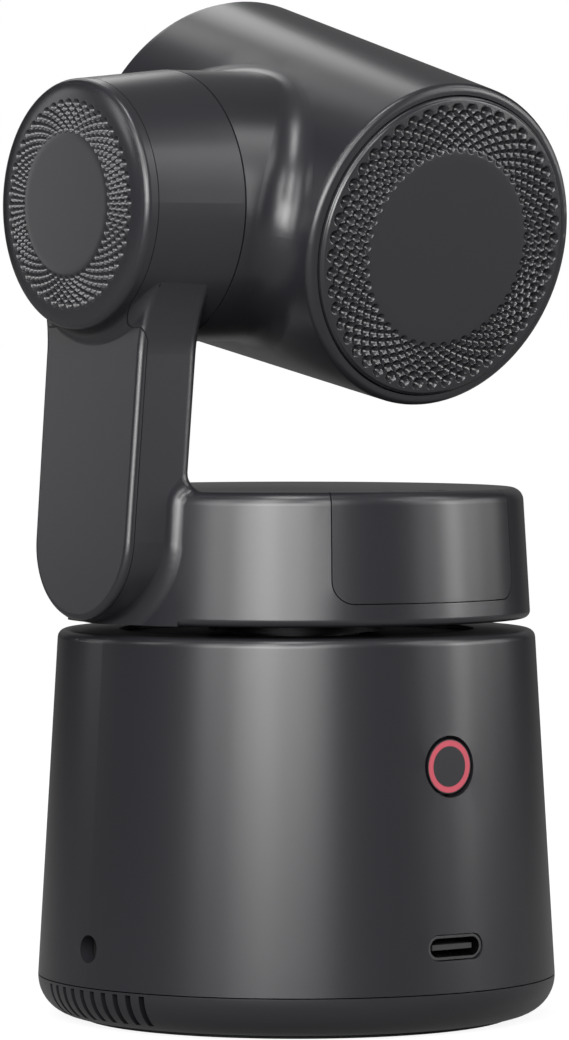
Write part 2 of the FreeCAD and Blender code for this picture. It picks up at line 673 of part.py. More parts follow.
def battery_bracket():
    body = new_body("battery_bracket")
    wide = s.battery_long / 2.0 + s.bracket_plate
    deep = s.battery_wide / 2.0 + s.bracket_plate
    low = s.battery_base - s.bracket_plate
    block(body, "Plate", "XY_Plane", lambda k: rectangle(k, -wide, wide, -deep, deep),
          low, s.battery_base)
    lip = block(body, "Lip", "XY_Plane",
                lambda k: rectangle(k, s.battery_long / 2.0, wide, -deep, deep),
                s.battery_base, s.battery_base + s.bracket_lip)
    mirrored(body, "Lips", [lip], "YZ_Plane")
    leg = block(body, "Leg", "XY_Plane",
                lambda k: circles(k, [(s.standoff_circle, 0.0, s.standoff_radius - 0.6)]),
                s.board_high, low + 0.5, turn=45)
    ring_of(body, "Legs", [leg], 4)
    return body


def battery_pack():
    body = new_body("battery_pack")
    wide, deep = s.battery_long / 2.0, s.battery_wide / 2.0
    block(body, "Cell", "XY_Plane", lambda k: rectangle(k, -wide, wide, -deep, deep),
          s.battery_base, s.battery_base + s.battery_tall)
    far = s.battery_long.value
    rounded(body, "Corners", s.battery_round, box_edges((-far, -far, 0), (far, far, far), Z))
    return body


def button_board():
    body = new_body("button_board")
    block(body, "Board", "XZ_Plane",
          lambda k: rectangle(k, -6.6, 6.6, s.button_height - 6.6, s.button_height + 6.6),
          s.button_board_face - s.board_thickness, s.button_board_face)
    return body


def button_switch():
    body = new_body("button_switch")
    half = s.switch_size / 2.0
    block(body, "Case", "XZ_Plane",
          lambda k: rectangle(k, -half, half, s.button_height - half, s.button_height + half),
          s.button_board_face, s.button_board_face + s.switch_tall)
    return body


def status_light():
    body = new_body("status_light")
    face = wall_radius(s.light_height)
    block(body, "Lens", "XZ_Plane",
          lambda k: circles(k, [(0.0, s.light_height, s.light_radius)]),
          -(face - 0.05), -(face - s.base_wall - 1.0))
    return body


def power_button():
    body = new_body("power_button")
    flange = s.button_hole + s.button_flange
    spun(body, "Cap", "Y", [
        (0.0, s.button_back), (flange, s.button_back), (flange, s.button_seat),
        (s.button_radius, s.button_seat), (s.button_radius, s.button_face - 1.3),
        (s.ring_inner, s.button_face - 1.3), (s.ring_inner, s.button_face),
        (0.0, s.button_face)], level=s.button_height)
    return body


def button_light_ring():
    body = new_body("button_light_ring")
    spun(body, "Ring", "Y",
         tube(s.button_radius, s.ring_inner, s.button_face - 1.3, s.button_face),
         level=s.button_height)
    return body


# Pan drive

def bearing_plate():
    body = new_body("bearing_plate")
    plate = s.base_top_radius - s.base_wall - 0.8
    deck = s.deck_opening
    ledge = s.pan_bearing_radius - 0.9
    spun(body, "Plate", "Z", [
        (ledge, s.pan_tube_base), (s.pan_tube_radius, s.pan_tube_base),
        (s.pan_tube_radius, s.plate_low), (plate, s.plate_low), (plate, s.deck_low),
        (deck, s.deck_low), (deck, s.deck_top), (s.pan_bearing_radius, s.deck_top),
        (s.pan_bearing_radius, s.pan_bearing_base), (ledge, s.pan_bearing_base)])
    hole = block(body, "ScrewHole", "XY_Plane",
                 lambda k: circles(k, [(s.deck_screw_circle, 0.0, s.screw_radius)]),
                 s.plate_low - 1.0, s.deck_low + 1.0, cut=True, turn=45)
    ring_of(body, "ScrewHoles", [hole], 4)
    return body


def ring_bearing(label, frame, axis, low, width, inner, outer, circle, ball):
    """One ring of a ball bearing, with its ball groove."""
    body = new_body(label, frame)
    spun(body, "Ring", axis, tube(outer, inner, low, low + width))
    plane, sketch_axis = SPIN[axis]
    sketch = new_sketch(body, "GrooveOutline", plane)
    middle = low + width / 2.0
    spot = (middle, circle) if axis == "X" else (circle, middle)
    circles(sketch, [(spot[0], spot[1], ball + s.ball_clearance)])
    groove = body.newObject("PartDesign::Groove", "Race")
    groove.Profile = sketch
    groove.ReferenceAxis = (sketch, [sketch_axis])
    groove.Angle = 360
    finish(body, groove)
    return body


def balls(label, frame, axis, along, circle, ball, count):
    """A ring of bearing balls about an axis."""
    body = new_body(label, frame)
    sphere = body.newObject("PartDesign::AdditiveSphere", "Ball")
    sphere.Radius = ball.value
    sphere.setExpression("Radius", ball.text)
    spot = V(along.value, circle.value, 0) if axis == "X_Axis" else V(circle.value, 0, along.value)
    sphere.Placement = FreeCAD.Placement(spot, FreeCAD.Rotation())
    names = ("x", "y") if axis == "X_Axis" else ("z", "x")
    sphere.setExpression("Placement.Base." + names[0], along.text)
    sphere.setExpression("Placement.Base." + names[1], circle.text)
    finish(body, sphere)
    ring_of(body, "Balls", [sphere], count, axis)
    return body


def spokes(size, width, angle):
    """A point at a distance along a spoke and a distance beside it."""
    c, n = cosine(angle), sine(angle)
    return (size * c - width * n, size * n + width * c)


def stator(label, frame, plane, axis, inner, outer, low, high, slots, back, shoe, tooth):
    """A slotted iron ring, its teeth half a step away from its slots."""
    body = new_body(label, frame)
    block(body, "Ring", plane, lambda k: circles(k, [(0.0, 0.0, outer), (0.0, 0.0, inner)]),
          low, high)
    step = 180.0 / slots
    root_radius, shoe_radius = inner + back, outer - shoe
    at_root = root_radius * tangent(step) - tooth / 2.0
    at_shoe = shoe_radius * tangent(step) - tooth / 2.0
    mouth = tooth * 0.35

    def draw(sketch):
        spots = [(root_radius, -at_root), (shoe_radius, -at_shoe), (shoe_radius, -mouth),
                 (outer + 0.6, -mouth), (outer + 0.6, mouth), (shoe_radius, mouth),
                 (shoe_radius, at_shoe), (root_radius, at_root)]
        outline(sketch, [spokes(away, beside, step) for away, beside in spots])
    slot_cut = block(body, "Slot", plane, draw, low - 1.0, high + 1.0, cut=True)
    ring_of(body, "Slots", [slot_cut], slots, axis)
    return body


def coils(label, frame, plane, axis, inner, outer, low, high, slots, tooth, wire):
    """One winding round each tooth, clear of the slot's flat floor."""
    body = new_body(label, frame)
    half = tooth / 2.0
    step = 180.0 / slots
    start = (inner - half * sine(step)) / cosine(step) + 0.05

    def draw(sketch):
        if plane == "YZ_Plane":
            rectangle(sketch, -half - wire, half + wire, low - wire, high + wire)
            rectangle(sketch, -half, half, low, high)
        else:
            rectangle(sketch, low - wire, high + wire, -half - wire, half + wire)
            rectangle(sketch, low, high, -half, half)
    coil = block(body, "Coil", plane, draw, start, outer)
    ring_of(body, "Coils", [coil], slots, axis)
    return body


def magnets(label, frame, axis, inner, outer, low, high, count):
    body = new_body(label, frame)
    magnet = spun(body, "Magnet", axis, tube(outer, inner, low, high), sweep=320.0 / count)
    ring_of(body, "Magnets", [magnet], count, axis + "_Axis")
    return body


def pan_rotor():
    body = new_body("pan_rotor")
    floor = s.pan_rotor_base + s.rotor_wall
    hub = s.shaft_radius + 1.8
    spun(body, "Cup", "Z", [
        (s.shaft_radius, s.pan_rotor_base), (s.rotor_outer, s.pan_rotor_base),
        (s.rotor_outer, s.pan_stator_high + 0.8), (s.pan_magnet_outer, s.pan_stator_high + 0.8),
        (s.pan_magnet_outer, floor), (hub, floor), (hub, s.pan_tube_base - 0.4),
        (s.shaft_radius, s.pan_tube_base - 0.4)])
    return body


def pan_shaft():
    body = new_body("pan_shaft")
    flange_low = s.deck_top + 0.4
    spun(body, "Shaft", "Z", [
        (s.shaft_bore, s.pan_rotor_base), (s.shaft_radius, s.pan_rotor_base),
        (s.shaft_radius, s.pan_bearing_top), (s.shaft_radius + 1.0, s.pan_bearing_top),
        (s.shaft_radius + 1.0, flange_low), (s.shaft_flange, flange_low),
        (s.shaft_flange, s.floor_low), (s.shaft_bore, s.floor_low)])
    hole = block(body, "ScrewHole", "XY_Plane",
                 lambda k: circles(k, [(s.floor_screw_circle, 0.0, s.screw_radius)]),
                 s.floor_low - 1.6, s.floor_low + 1.0, cut=True)
    ring_of(body, "ScrewHoles", [hole], 4)
    return body


# Turret and arm

def drum_radius(level):
    """Radius of the turret's outer wall at a level."""
    slope = (s.turret_radius - s.turret_top_radius) / s.turret_height
    return s.turret_radius - (level - s.turret_base) * slope


def drum_shoulder():
    """The round between the drum's wall and its top, as corners of an outline."""
    slope = (s.turret_radius - s.turret_top_radius) / s.turret_height
    long = root(slope * slope + 1.0)
    reach = s.turret_round * (long - slope)
    across, up = reach * slope / long, reach / long
    chord = (across + reach) * (across + reach) + up * up
    bow = root(s.turret_round * s.turret_round - chord / 4.0) - s.turret_round
    return [(s.turret_top_radius + across, s.turret_top - up, bow),
            (s.turret_top_radius - reach, s.turret_top)]


def low_corner():
    """What the round at the drum's lower edge takes away, on the -X side, as an outline."""
    turn = s.turret_low_round
    flat, high = drum_radius(s.turret_base) - turn, s.turret_base + turn
    far, low = s.turret_radius + s.cover_gap, s.turret_base - turn
    bow = turn * (1.0 - math.sqrt(0.5))
    return [(-flat, s.turret_base, bow), (-drum_radius(high), high), (-far, high), (-far, low),
            (-flat, low)]


def turret_floor():
    body = new_body("turret_floor")
    spun(body, "Floor", "Z", [
        (s.shaft_bore, s.floor_low), (drum_radius(s.floor_low) - s.turret_wall, s.floor_low),
        (drum_radius(s.floor_high) - s.turret_wall, s.floor_high), (s.shaft_bore, s.floor_high)])
    hole = block(body, "ScrewHole", "XY_Plane",
                 lambda k: circles(k, [(s.floor_screw_circle, 0.0, s.screw_radius)]),
                 s.floor_low - 1.0, s.floor_high + 1.0, cut=True)
    ring_of(body, "ScrewHoles", [hole], 4)
    return body


def arm_face(level):
    """Place along X of the arm's leaning outer face at a level."""
    return s.arm_outer_low - (level - s.arm_foot) * s.lean


def stem_outline(sketch):
    """The arm seen along the tilt axis, where it starts: a round foot, straight sides, and
    flares that run into the round housing and end a hair below its surface."""
    half, flare = s.arm_half_width, s.arm_flare
    reach = s.housing_inner_radius - s.flare_dip + flare
    drop = root(reach * reach - (half + flare) * (half + flare))
    flare_low = s.tilt_height - drop
    share = (reach - flare) / reach
    side = (half + flare) * share
    flare_high = s.tilt_height - drop * share
    across, up = side - half, flare_high - flare_low
    bow = flare - root(flare * flare - (across * across + up * up) / 4.0)
    top = s.tilt_height - s.housing_outer_radius / 4.0
    outline(sketch, [
        (-half, s.arm_foot + half, -half), (half, s.arm_foot + half), (half, flare_low, bow),
        (side, flare_high), (side * 0.5, top), (side * -0.5, top),
        (-side, flare_high, bow), (-half, flare_low)])


def spot_on(edge, share):
    """The point at a share of an edge's length."""
    first, last = edge.ParameterRange
    return edge.valueAt(first + (last - first) * share)


def lean_edge(shift, middle):
    """Picks edges on the arm's leaning face, moved inward by shift: those across the middle
    below the round housing, or those along the sides."""
    def wanted(edge):
        for share in (0.05, 0.5, 0.95):
            spot = spot_on(edge, share)
            if abs(spot.x - arm_face(spot.z).value + number(shift)) > 0.02:
                return False
        spot = spot_on(edge, 0.5)
        across = abs(spot.y) < 4.0 and spot.z > s.turret_top.value - 6.0
        height = spot.z - (s.turret_top.value if across or number(shift) > 0 else 0.0)
        return height > 1.0 and spot.z < s.tilt_height.value - 10.0 and across == middle
    return wanted


def arm_form(body):
    """The whole outer form of the arm: the leaning stem and the round motor housing, with the
    same draft, blended into each other."""
    stem = block(body, "Stem", "YZ_Plane", stem_outline, s.housing_inner_x, s.housing_outer_x + 1.0)
    stem.setExpression("TaperAngle", "0 deg - atan(%s)" % s.housing_draft.text)
    finish(body, stem)
    foot, top = s.arm_foot - 3.0, s.tilt_height
    far, near = s.housing_outer_x + 4.0, s.housing_inner_x - 4.0
    block(body, "OuterLean", "XZ_Plane",
          lambda k: outline(k, [(arm_face(foot), foot), (far, foot), (far, top), (arm_face(top), top)]),
          -2.0 * s.arm_half_width, 2.0 * s.arm_half_width, cut=True)
    low = s.turret_top - 5.0
    block(body, "InnerLean", "XZ_Plane",
          lambda k: outline(k, [(near, low), (arm_face(low) - s.arm_thick, low),
                                (arm_face(top) - s.arm_thick, top), (near, top)]),
          -2.0 * s.arm_half_width, 2.0 * s.arm_half_width, cut=True)
    rounded(body, "OuterEdges", s.arm_outer_round, lean_edge(0.0, False))
    rounded(body, "InnerEdges", s.arm_inner_round, lean_edge(s.arm_thick, False))
    spun(body, "Housing", "X", [
        (0.0, s.housing_inner_x), (s.housing_inner_radius, s.housing_inner_x),
        (s.housing_outer_radius, s.housing_outer_x), (0.0, s.housing_outer_x)],
         level=s.tilt_height)
    rounded(body, "HousingRoot", s.housing_root_round, lean_edge(0.0, True))
    rounded(body, "DiscRim", s.disc_round,
            lambda edge: edge.BoundBox.XMin > s.housing_outer_x.value - 0.01)


def parting(sketch, side, shift):
    """What lies on one side of the seam between the arm and its cover: side is the X of the
    far boundary, and shift moves the seam along X."""
    low, bend = s.arm_foot - 3.0, s.tilt_height - s.housing_outer_radius - 1.5
    step, high = bend + 5.0, s.tilt_height + s.housing_inner_radius + 4.0
    disc = s.housing_outer_x - s.disc_depth + shift
    outline(sketch, [
        (side, low), (arm_face(low) - s.cover_depth + shift, low),
        (arm_face(bend) - s.cover_depth + shift, bend), (disc, step), (disc, high), (side, high)])


def arm_root(shape):
    """Picks the edges where the arm meets the drum."""
    def of_drum(face):
        surface = face.Surface
        if isinstance(surface, Part.Plane):
            return abs(surface.Axis.z) > 0.99 and abs(surface.Position.z - s.turret_top.value) < 0.01
        return isinstance(surface, (Part.Cone, Part.Toroid)) and abs(surface.Axis.z) > 0.99

    def wanted(edge):
        if min(spot_on(edge, share).x for share in (0.0, 0.5, 1.0)) < s.turret_radius.value / 2:
            return False
        faces = shape.ancestorsOfType(edge, Part.Face)
        return len(faces) == 2 and of_drum(faces[0]) != of_drum(faces[1])
    return wanted


def turret_shell():
    body = new_body("turret_shell")
    arm_form(body)
    skirt = s.turret_base - s.arm_root_round - 3.0
    spun(body, "Drum", "Z", [(0.0, skirt), (drum_radius(skirt), skirt)] + drum_shoulder()
         + [(0.0, s.turret_top)])
    rounded(body, "ArmRoot", s.arm_root_round, arm_root(body.Tip.Shape))
    wide = 2.0 * s.turret_radius
    block(body, "Trim", "XY_Plane", lambda k: rectangle(k, 0.0 - wide, wide, 0.0 - wide, wide),
          skirt - 1.0, s.turret_base, cut=True)
    spun(body, "LowRound", "Z", low_corner(), cut=True, sweep=s.low_round_sweep)
    reach = 3.0 * s.housing_inner_radius
    block(body, "CoverSeat", "XZ_Plane",
          lambda k: parting(k, s.housing_outer_x + 8.0, -s.cover_gap), -reach, reach, cut=True)
    wall = s.turret_wall
    spun(body, "Hollow", "Z", [
        (0.0, s.turret_base - 1.0), (s.turret_radius - wall, s.turret_base - 1.0),
        (s.turret_radius - wall, s.turret_base),
        (drum_radius(s.turret_top - wall) - wall, s.turret_top - wall),
        (0.0, s.turret_top - wall)], cut=True)
    spun(body, "MotorRoom", "X", [
        (0.0, s.housing_inner_x - 1.0), (s.housing_cavity, s.housing_inner_x - 1.0),
        (s.housing_cavity, s.housing_back), (0.0, s.housing_back)],
         cut=True, level=s.tilt_height)
    thick = s.flap_wall + s.flap_gap
    low, top = s.flap_low - s.flap_gap, s.turret_top
    far = s.turret_radius + 4.0
    spun(body, "FlapRecess", "Z", [
        (s.flap_lip - s.flap_gap, top + 1.0), (far, top + 1.0), (far, low),
        (drum_radius(low) - thick, low), (drum_radius(top) - thick, top - thick),
        (s.flap_lip - s.flap_gap, top - thick)],
         cut=True, sweep=2.0 * s.flap_half_angle + 0.6, plane="YZ_Plane")
    rounded(body, "RecessCorners", s.flap_corner + s.flap_gap, radial_edge(low))
    spun(body, "BayOpening", "Z", [
        (s.bay_floor, s.bay_low), (far, s.bay_low), (far, s.bay_high), (s.bay_floor, s.bay_high)],
         cut=True, sweep=2.0 * s.bay_half_angle, plane="YZ_Plane")
    half = s.notch_width / 2.0
    block(body, "FingerNotch", "XY_Plane",
          lambda k: rectangle(k, -half, half, s.flap_lip - s.notch_reach, s.flap_lip),
          top - s.notch_deep, top + 1.0, cut=True)
    for name, side in (("CoverScrewHole", 1.0), ("CoverScrewHoleB", -1.0)):
        spot = s.cover_screw_circle * side
        block(body, name, "YZ_Plane", lambda k: circles(k, [(spot, s.tilt_height, s.screw_radius)]),
              s.housing_back + 0.4, s.housing_outer_x, cut=True)
    return body


def arm_cover():
    body = new_body("arm_cover")
    arm_form(body)
    reach = 3.0 * s.housing_inner_radius
    block(body, "SeamCut", "XZ_Plane",
          lambda k: parting(k, s.housing_inner_x - 4.0, 0.0), -reach, reach, cut=True)
    seat = s.small_edge + s.cap_gap
    spun(body, "CapSeat", "X", [
        (0.0, s.housing_outer_x - s.small_seat), (seat, s.housing_outer_x - s.small_seat),
        (seat, s.housing_outer_x + 1.0), (0.0, s.housing_outer_x + 1.0)],
         cut=True, level=s.tilt_height)
    for name, side in (("ScrewHole", 1.0), ("ScrewHoleB", -1.0)):
        spot = s.cover_screw_circle * side
        block(body, name, "YZ_Plane", lambda k: circles(k, [(spot, s.tilt_height, s.screw_radius)]),
              s.housing_back, s.housing_outer_x, cut=True)
        block(body, name + "Head", "YZ_Plane",
              lambda k: circles(k, [(spot, s.tilt_height, s.screw_head)]),
              s.cover_screw_seat, s.housing_outer_x + 1.0, cut=True)
    return body


def port_bay():
    body = new_body("port_bay")
    low, high = s.bay_low - s.bay_wall, s.bay_high + s.bay_wall
    back = s.bay_floor - s.bay_wall
    spun(body, "Tray", "Z", [
        (back, low), (drum_radius(low) - s.turret_wall, low),
        (drum_radius(high) - s.turret_wall, high), (back, high)],
         sweep=2.0 * s.bay_half_angle + 5.0, plane="YZ_Plane")
    spun(body, "Room", "Z", [
        (s.bay_floor, s.bay_low), (s.turret_radius, s.bay_low), (s.turret_radius, s.bay_high),
        (s.bay_floor, s.bay_high)],
         cut=True, sweep=2.0 * s.bay_half_angle, plane="YZ_Plane")
    deep = s.bay_floor - s.bay_wall - 6.0
    for name, box in (("HdmiHole", HDMI), ("CardHole", CARD)):
        block(body, name, "XZ_Plane", lambda k: port_box(k, box, 0.0), deep, s.turret_radius, cut=True)
    block(body, "LeashHole", "XZ_Plane", lambda k: leash_box(k, 0.2), deep, s.turret_radius, cut=True)
    return body


HDMI = (-7.6, -1.0, 3.0)
CARD = (-8.6, 3.0, 1.6)


def port_box(sketch, box, inset):
    """A socket's outline: its two sides and its height, about its own level in the bay."""
    left, right, tall = box
    level = s.bay_low + 3.0 if tall < 2.0 else s.bay_high - 3.4
    rectangle(sketch, left + inset, right - inset, level - tall / 2.0 + inset,
              level + tall / 2.0 - inset)


def leash_box(sketch, gap):
    level = s.bay_high - 3.4
    rectangle(sketch, 4.2 - gap, 7.2 + gap, level - 0.8 - gap, level + 0.8 + gap)


def socket(label, box, wall, front, depth):
    body = new_body(label)
    block(body, "Case", "XZ_Plane", lambda k: port_box(k, box, 0.0), s.port_board_face, front)
    block(body, "Mouth", "XZ_Plane", lambda k: port_box(k, box, wall), front - depth, front + 1.0,
          cut=True)
    return body


def port_board():
    body = new_body("port_board")
    block(body, "Board", "XZ_Plane",
          lambda k: rectangle(k, -9.6, 3.2, s.bay_low - 1.0, s.bay_high + 0.6),
          s.port_board_face - s.board_thickness, s.port_board_face)
    return body


def port_flap():
    body = new_body("port_flap")
    low, top, wall = s.flap_low, s.turret_top, s.flap_wall
    spun(body, "Cover", "Z", [
        (s.flap_lip, top), (drum_radius(top), top), (drum_radius(low), low),
        (drum_radius(low) - wall, low), (drum_radius(top) - wall, top - wall),
        (s.flap_lip, top - wall)], sweep=2.0 * s.flap_half_angle, plane="YZ_Plane")
    rounded(body, "Corners", s.flap_corner, radial_edge(low))
    rounded(body, "TopRound", s.turret_round, hoop(Z, top, drum_radius(top)))
    plug_low, plug_high = s.bay_low + 0.3, s.bay_high - 0.3
    spun(body, "Plug", "Z", [
        (drum_radius(top) - wall - 1.4, plug_low), (drum_radius(top) - wall + 0.3, plug_low),
        (drum_radius(top) - wall + 0.3, plug_high), (drum_radius(top) - wall - 1.4, plug_high)],
         sweep=2.0 * s.bay_half_angle - 1.2, plane="YZ_Plane")
    block(body, "LeashSeat", "XZ_Plane", lambda k: leash_box(k, 0.0), s.bay_floor, s.leash_front,
          cut=True)
    return body


def flap_leash():
    body = new_body("flap_leash")
    block(body, "Strip", "XZ_Plane", lambda k: leash_box(k, 0.0), s.leash_tail, s.leash_front)
    block(body, "Stop", "XZ_Plane", lambda k: leash_box(k, 0.7), s.leash_tail - 1.0, s.leash_tail)
    return body


# Tilt drive

def tilt_motor_mount():
    body = new_body("tilt_motor_mount", "arm")
    stop = s.tilt_bearing_x + s.tilt_bearing_width
    spun(body, "Mount", "X", [
        (0.0, s.housing_back), (s.housing_cavity, s.housing_back), (s.housing_cavity, s.tilt_mount_x),
        (s.tilt_tube, s.tilt_mount_x), (s.tilt_tube, s.tilt_bearing_x),
        (s.tilt_bearing_radius, s.tilt_bearing_x), (s.tilt_bearing_radius, stop),
        (s.tilt_bearing_radius - 0.9, stop), (s.tilt_bearing_radius - 0.9, s.tilt_mount_x),
        (0.0, s.tilt_mount_x)])
    return body


def tilt_rotor():
    body = new_body("tilt_rotor", "arm")
    disc = s.housing_inner_x + 0.75
    face = disc + s.tilt_rotor_disc
    outer = s.tilt_magnet_outer + s.tilt_rotor_wall
    spun(body, "Cup", "X", [
        (s.tilt_shaft, s.neck_end_x), (s.tilt_tube, s.neck_end_x), (s.tilt_tube, disc), (outer, disc),
        (outer, s.tilt_stator_high), (s.tilt_magnet_outer, s.tilt_stator_high),
        (s.tilt_magnet_outer, face), (s.tilt_shaft, face)])
    return body


def tilt_shaft():
    body = new_body("tilt_shaft", "arm")
    seat = s.neck_end_x - s.neck_wall
    end = s.tilt_bearing_x + s.tilt_bearing_width + 0.6
    spun(body, "Shaft", "X", [
        (0.0, seat - 1.6), (s.tilt_shaft + 2.0, seat - 1.6), (s.tilt_shaft + 2.0, seat),
        (s.tilt_shaft, seat), (s.tilt_shaft, end), (0.0, end)])
    return body


# Head

def head_barrel():
    body = new_body("head_barrel", "barrel")
    neck_end = s.neck_end_x + s.barrel_offset
    spun(body, "Barrel", "Y", [
        (0.0, -s.barrel_front), (s.barrel_front_radius, -s.barrel_front),
        (s.barrel_rear_radius, s.barrel_rear), (0.0, s.barrel_rear)])
    block(body, "Neck", "YZ_Plane", lambda k: circles(k, [(0.0, 0.0, s.neck_radius)]), 0.0, neck_end)

    def joint(edge):
        if isinstance(edge.Curve, (Part.Line, Part.Circle)):
            return False
        return edge.BoundBox.XMin > 0 and edge.BoundBox.XMax < neck_end.value - 0.5
    rounded(body, "NeckBlend", s.neck_blend, joint)
    rounded(body, "RearRim", s.barrel_rim_round, hoop(Y, s.barrel_rear, s.barrel_rear_radius))
    spun(body, "Bore", "Y", [
        (0.0, -s.barrel_front - 1.0), (s.front_seat, -s.barrel_front - 1.0),
        (s.front_seat, s.front_seat_depth - s.barrel_front),
        (s.barrel_bore, s.front_seat_depth - s.barrel_front),
        (s.barrel_bore, s.barrel_rear - s.cap_seat_depth),
        (s.cap_seat, s.barrel_rear - s.cap_seat_depth), (s.cap_seat, s.barrel_rear + 1.0),
        (0.0, s.barrel_rear + 1.0)], cut=True)
    block(body, "NeckRoom", "YZ_Plane",
          lambda k: circles(k, [(0.0, 0.0, s.neck_radius - s.neck_wall)]),
          s.barrel_offset, neck_end - s.neck_wall, cut=True)
    block(body, "ShaftHole", "YZ_Plane", lambda k: circles(k, [(0.0, 0.0, s.tilt_shaft)]),
          s.barrel_offset, neck_end + 1.0, cut=True)
    return body


def turned(label, profile, frame="barrel"):
    """A round piece on the barrel's axis."""
    body = new_body(label, frame)
    spun(body, "Body", "Y", profile)
    return body


def front_bezel():
    front = -s.barrel_front
    ledge = front + s.front_seat_depth - s.baffle_thick
    return turned("front_bezel", [
        (s.glass_radius, front - s.bezel_front), (s.bezel_radius, front - s.bezel_front),
        (s.bezel_radius, front), (s.front_seat, front), (s.front_seat, ledge),
        (s.glass_radius - 0.8, ledge), (s.glass_radius - 0.8, s.glass_back),
        (s.glass_radius, s.glass_back)])


def front_glass():
    return turned("front_glass", tube(s.glass_radius, 0.0, s.glass_back - s.glass_thick, s.glass_back))


def front_baffle():
    back = s.front_seat_depth - s.barrel_front
    return turned("front_baffle", tube(s.front_seat, s.lens_hole, back - s.baffle_thick, back))


def lens_barrel():
    front = s.front_seat_depth - s.barrel_front - s.baffle_thick
    outer, inner = s.lens_hole, s.lens_hole - s.lens_barrel_wall
    return turned("lens_barrel", tube(outer, inner, front, -s.lens_barrel_rear))


def front_lens():
    inner = s.lens_hole - s.lens_barrel_wall
    edge = s.glass_back + 0.5 + s.front_lens_dome
    dome = s.front_lens_dome
    ball = (inner * inner + dome * dome) / (2.0 * dome)
    bow = ball - root(ball * ball - (inner * inner + dome * dome) / 4.0)
    return turned("front_lens", [
        (0.0, edge + 1.6), (inner, edge + 1.6), (inner, edge, bow), (0.0, edge - dome)])


def rear_lens():
    inner = s.lens_hole - s.lens_barrel_wall
    back = -s.lens_barrel_rear - 3.2
    return turned("rear_lens", tube(inner, 0.0, back - 3.0, back))


def head_disc(label, low):
    return turned(label, tube(s.barrel_bore, 0.0, low, low + s.board_thickness))


def image_sensor():
    body = new_body("image_sensor", "barrel")
    wide, tall = s.sensor_width / 2.0, s.sensor_tall / 2.0
    block(body, "Chip", "XZ_Plane", lambda k: rectangle(k, -wide, wide, -tall, tall),
          -s.lens_barrel_rear - s.chip_thick, -s.lens_barrel_rear)
    return body


def heat_sink():
    body = new_body("heat_sink", "barrel")
    base = s.processor_face + s.board_thickness
    half = s.sink_size / 2.0
    block(body, "Plate", "XZ_Plane", lambda k: rectangle(k, -half, half, -half, half),
          base, base + 1.6)
    fin = block(body, "Fin", "XZ_Plane",
                lambda k: rectangle(k, -half, -half + 1.0, -half, half), base + 1.2, base + 6.0)
    pattern = body.newObject("PartDesign::LinearPattern", "Fins")
    pattern.Originals = [fin]
    pattern.Direction = (origin_of(body, "X_Axis"), [""])
    pattern.Length = (s.sink_size - 1.0).value
    pattern.setExpression("Length", (s.sink_size - 1.0).text)
    pattern.Occurrences = 6
    finish(body, pattern)
    return body


# Dimpled caps

def dimpled_cap(label, frame, axis, seat, rows, first, last, edge, edge_height, crown):
    """A shallow dome with a flat middle and rings of pits, each ring half a step from the next.

    Neighbouring pits share their four-cornered rims. The cap's flat back lies at seat along
    the axis, and the dome faces the axis's positive way.
    """
    count, rows = int(s.dimple_count.value), int(rows.value)
    first, last, edge = first.value, last.value, edge.value
    growth = (last / first) ** (1.0 / (rows - 1))
    step = 2 * math.pi / count

    def height(radius):
        return edge_height.value + crown.value * (1 - (radius / edge) ** 2)

    def spot(radius, turns, level):
        return V(radius * math.cos(turns * step), radius * math.sin(turns * step), level)

    def ring(row, radius=None, level=None):
        """The rim corners of a row of pits; an even row has them between whole steps."""
        shift = 0.5 if row % 2 == 0 else 0.0
        radius = radius or first * growth ** row
        level = height(radius) if level is None else level
        return [spot(radius, k + shift, level) for k in range(count)]
    points, faces = [], []

    def fan(*corners):
        start = len(points)
        points.extend(corners)
        faces.extend((start, start + i, start + i + 1) for i in range(1, len(corners) - 1))
    for row in range(rows):
        odd = row % 2
        radius = first * growth ** row
        pit_level = height(radius) - s.dimple_depth.value * radius / last
        beside, inward, outward = ring(row), ring(row - 1), ring(row + 1)
        for k in range(count):
            pit = spot(radius, k + odd * 0.5, pit_level)
            rim = [inward[k], beside[k - 1 + odd], outward[k], beside[(k + odd) % count]]
            for i in range(4):
                fan(pit, rim[i], rim[(i + 1) % 4])
    inner, between = ring(-1), ring(0)
    outer, last_ring = ring(rows), ring(rows - 1)
    shoulder = ring(rows, edge, edge_height.value)
    back = ring(rows, edge, 0.0)
    for k in range(count):
        after = (k + 1) % count
        fan(inner[k], between[k], inner[after])
        left, right = (k - 1, k) if rows % 2 == 0 else (k, after)
        fan(outer[left], last_ring[k], outer[right])
        fan(outer[k], outer[after], shoulder[after], shoulder[k])
        fan(shoulder[k], shoulder[after], back[after], back[k])
    fan(*inner)
    fan(*reversed(back))
    shell = Part.Shape()
    shell.makeShapeFromMesh((points, faces), 0.001)
    solid = Part.Solid(shell)
    if solid.Volume < 0:
        solid.reverse()
    piece = doc.addObject("Part::Feature", label)
    piece.Label = label
    piece.Shape = solid.removeSplitter()
    local = FreeCAD.Placement(axis * seat.value, FreeCAD.Rotation(Z, axis))
    piece.Placement = frame_of(frame).multiply(local)
    return piece


# The whole camera

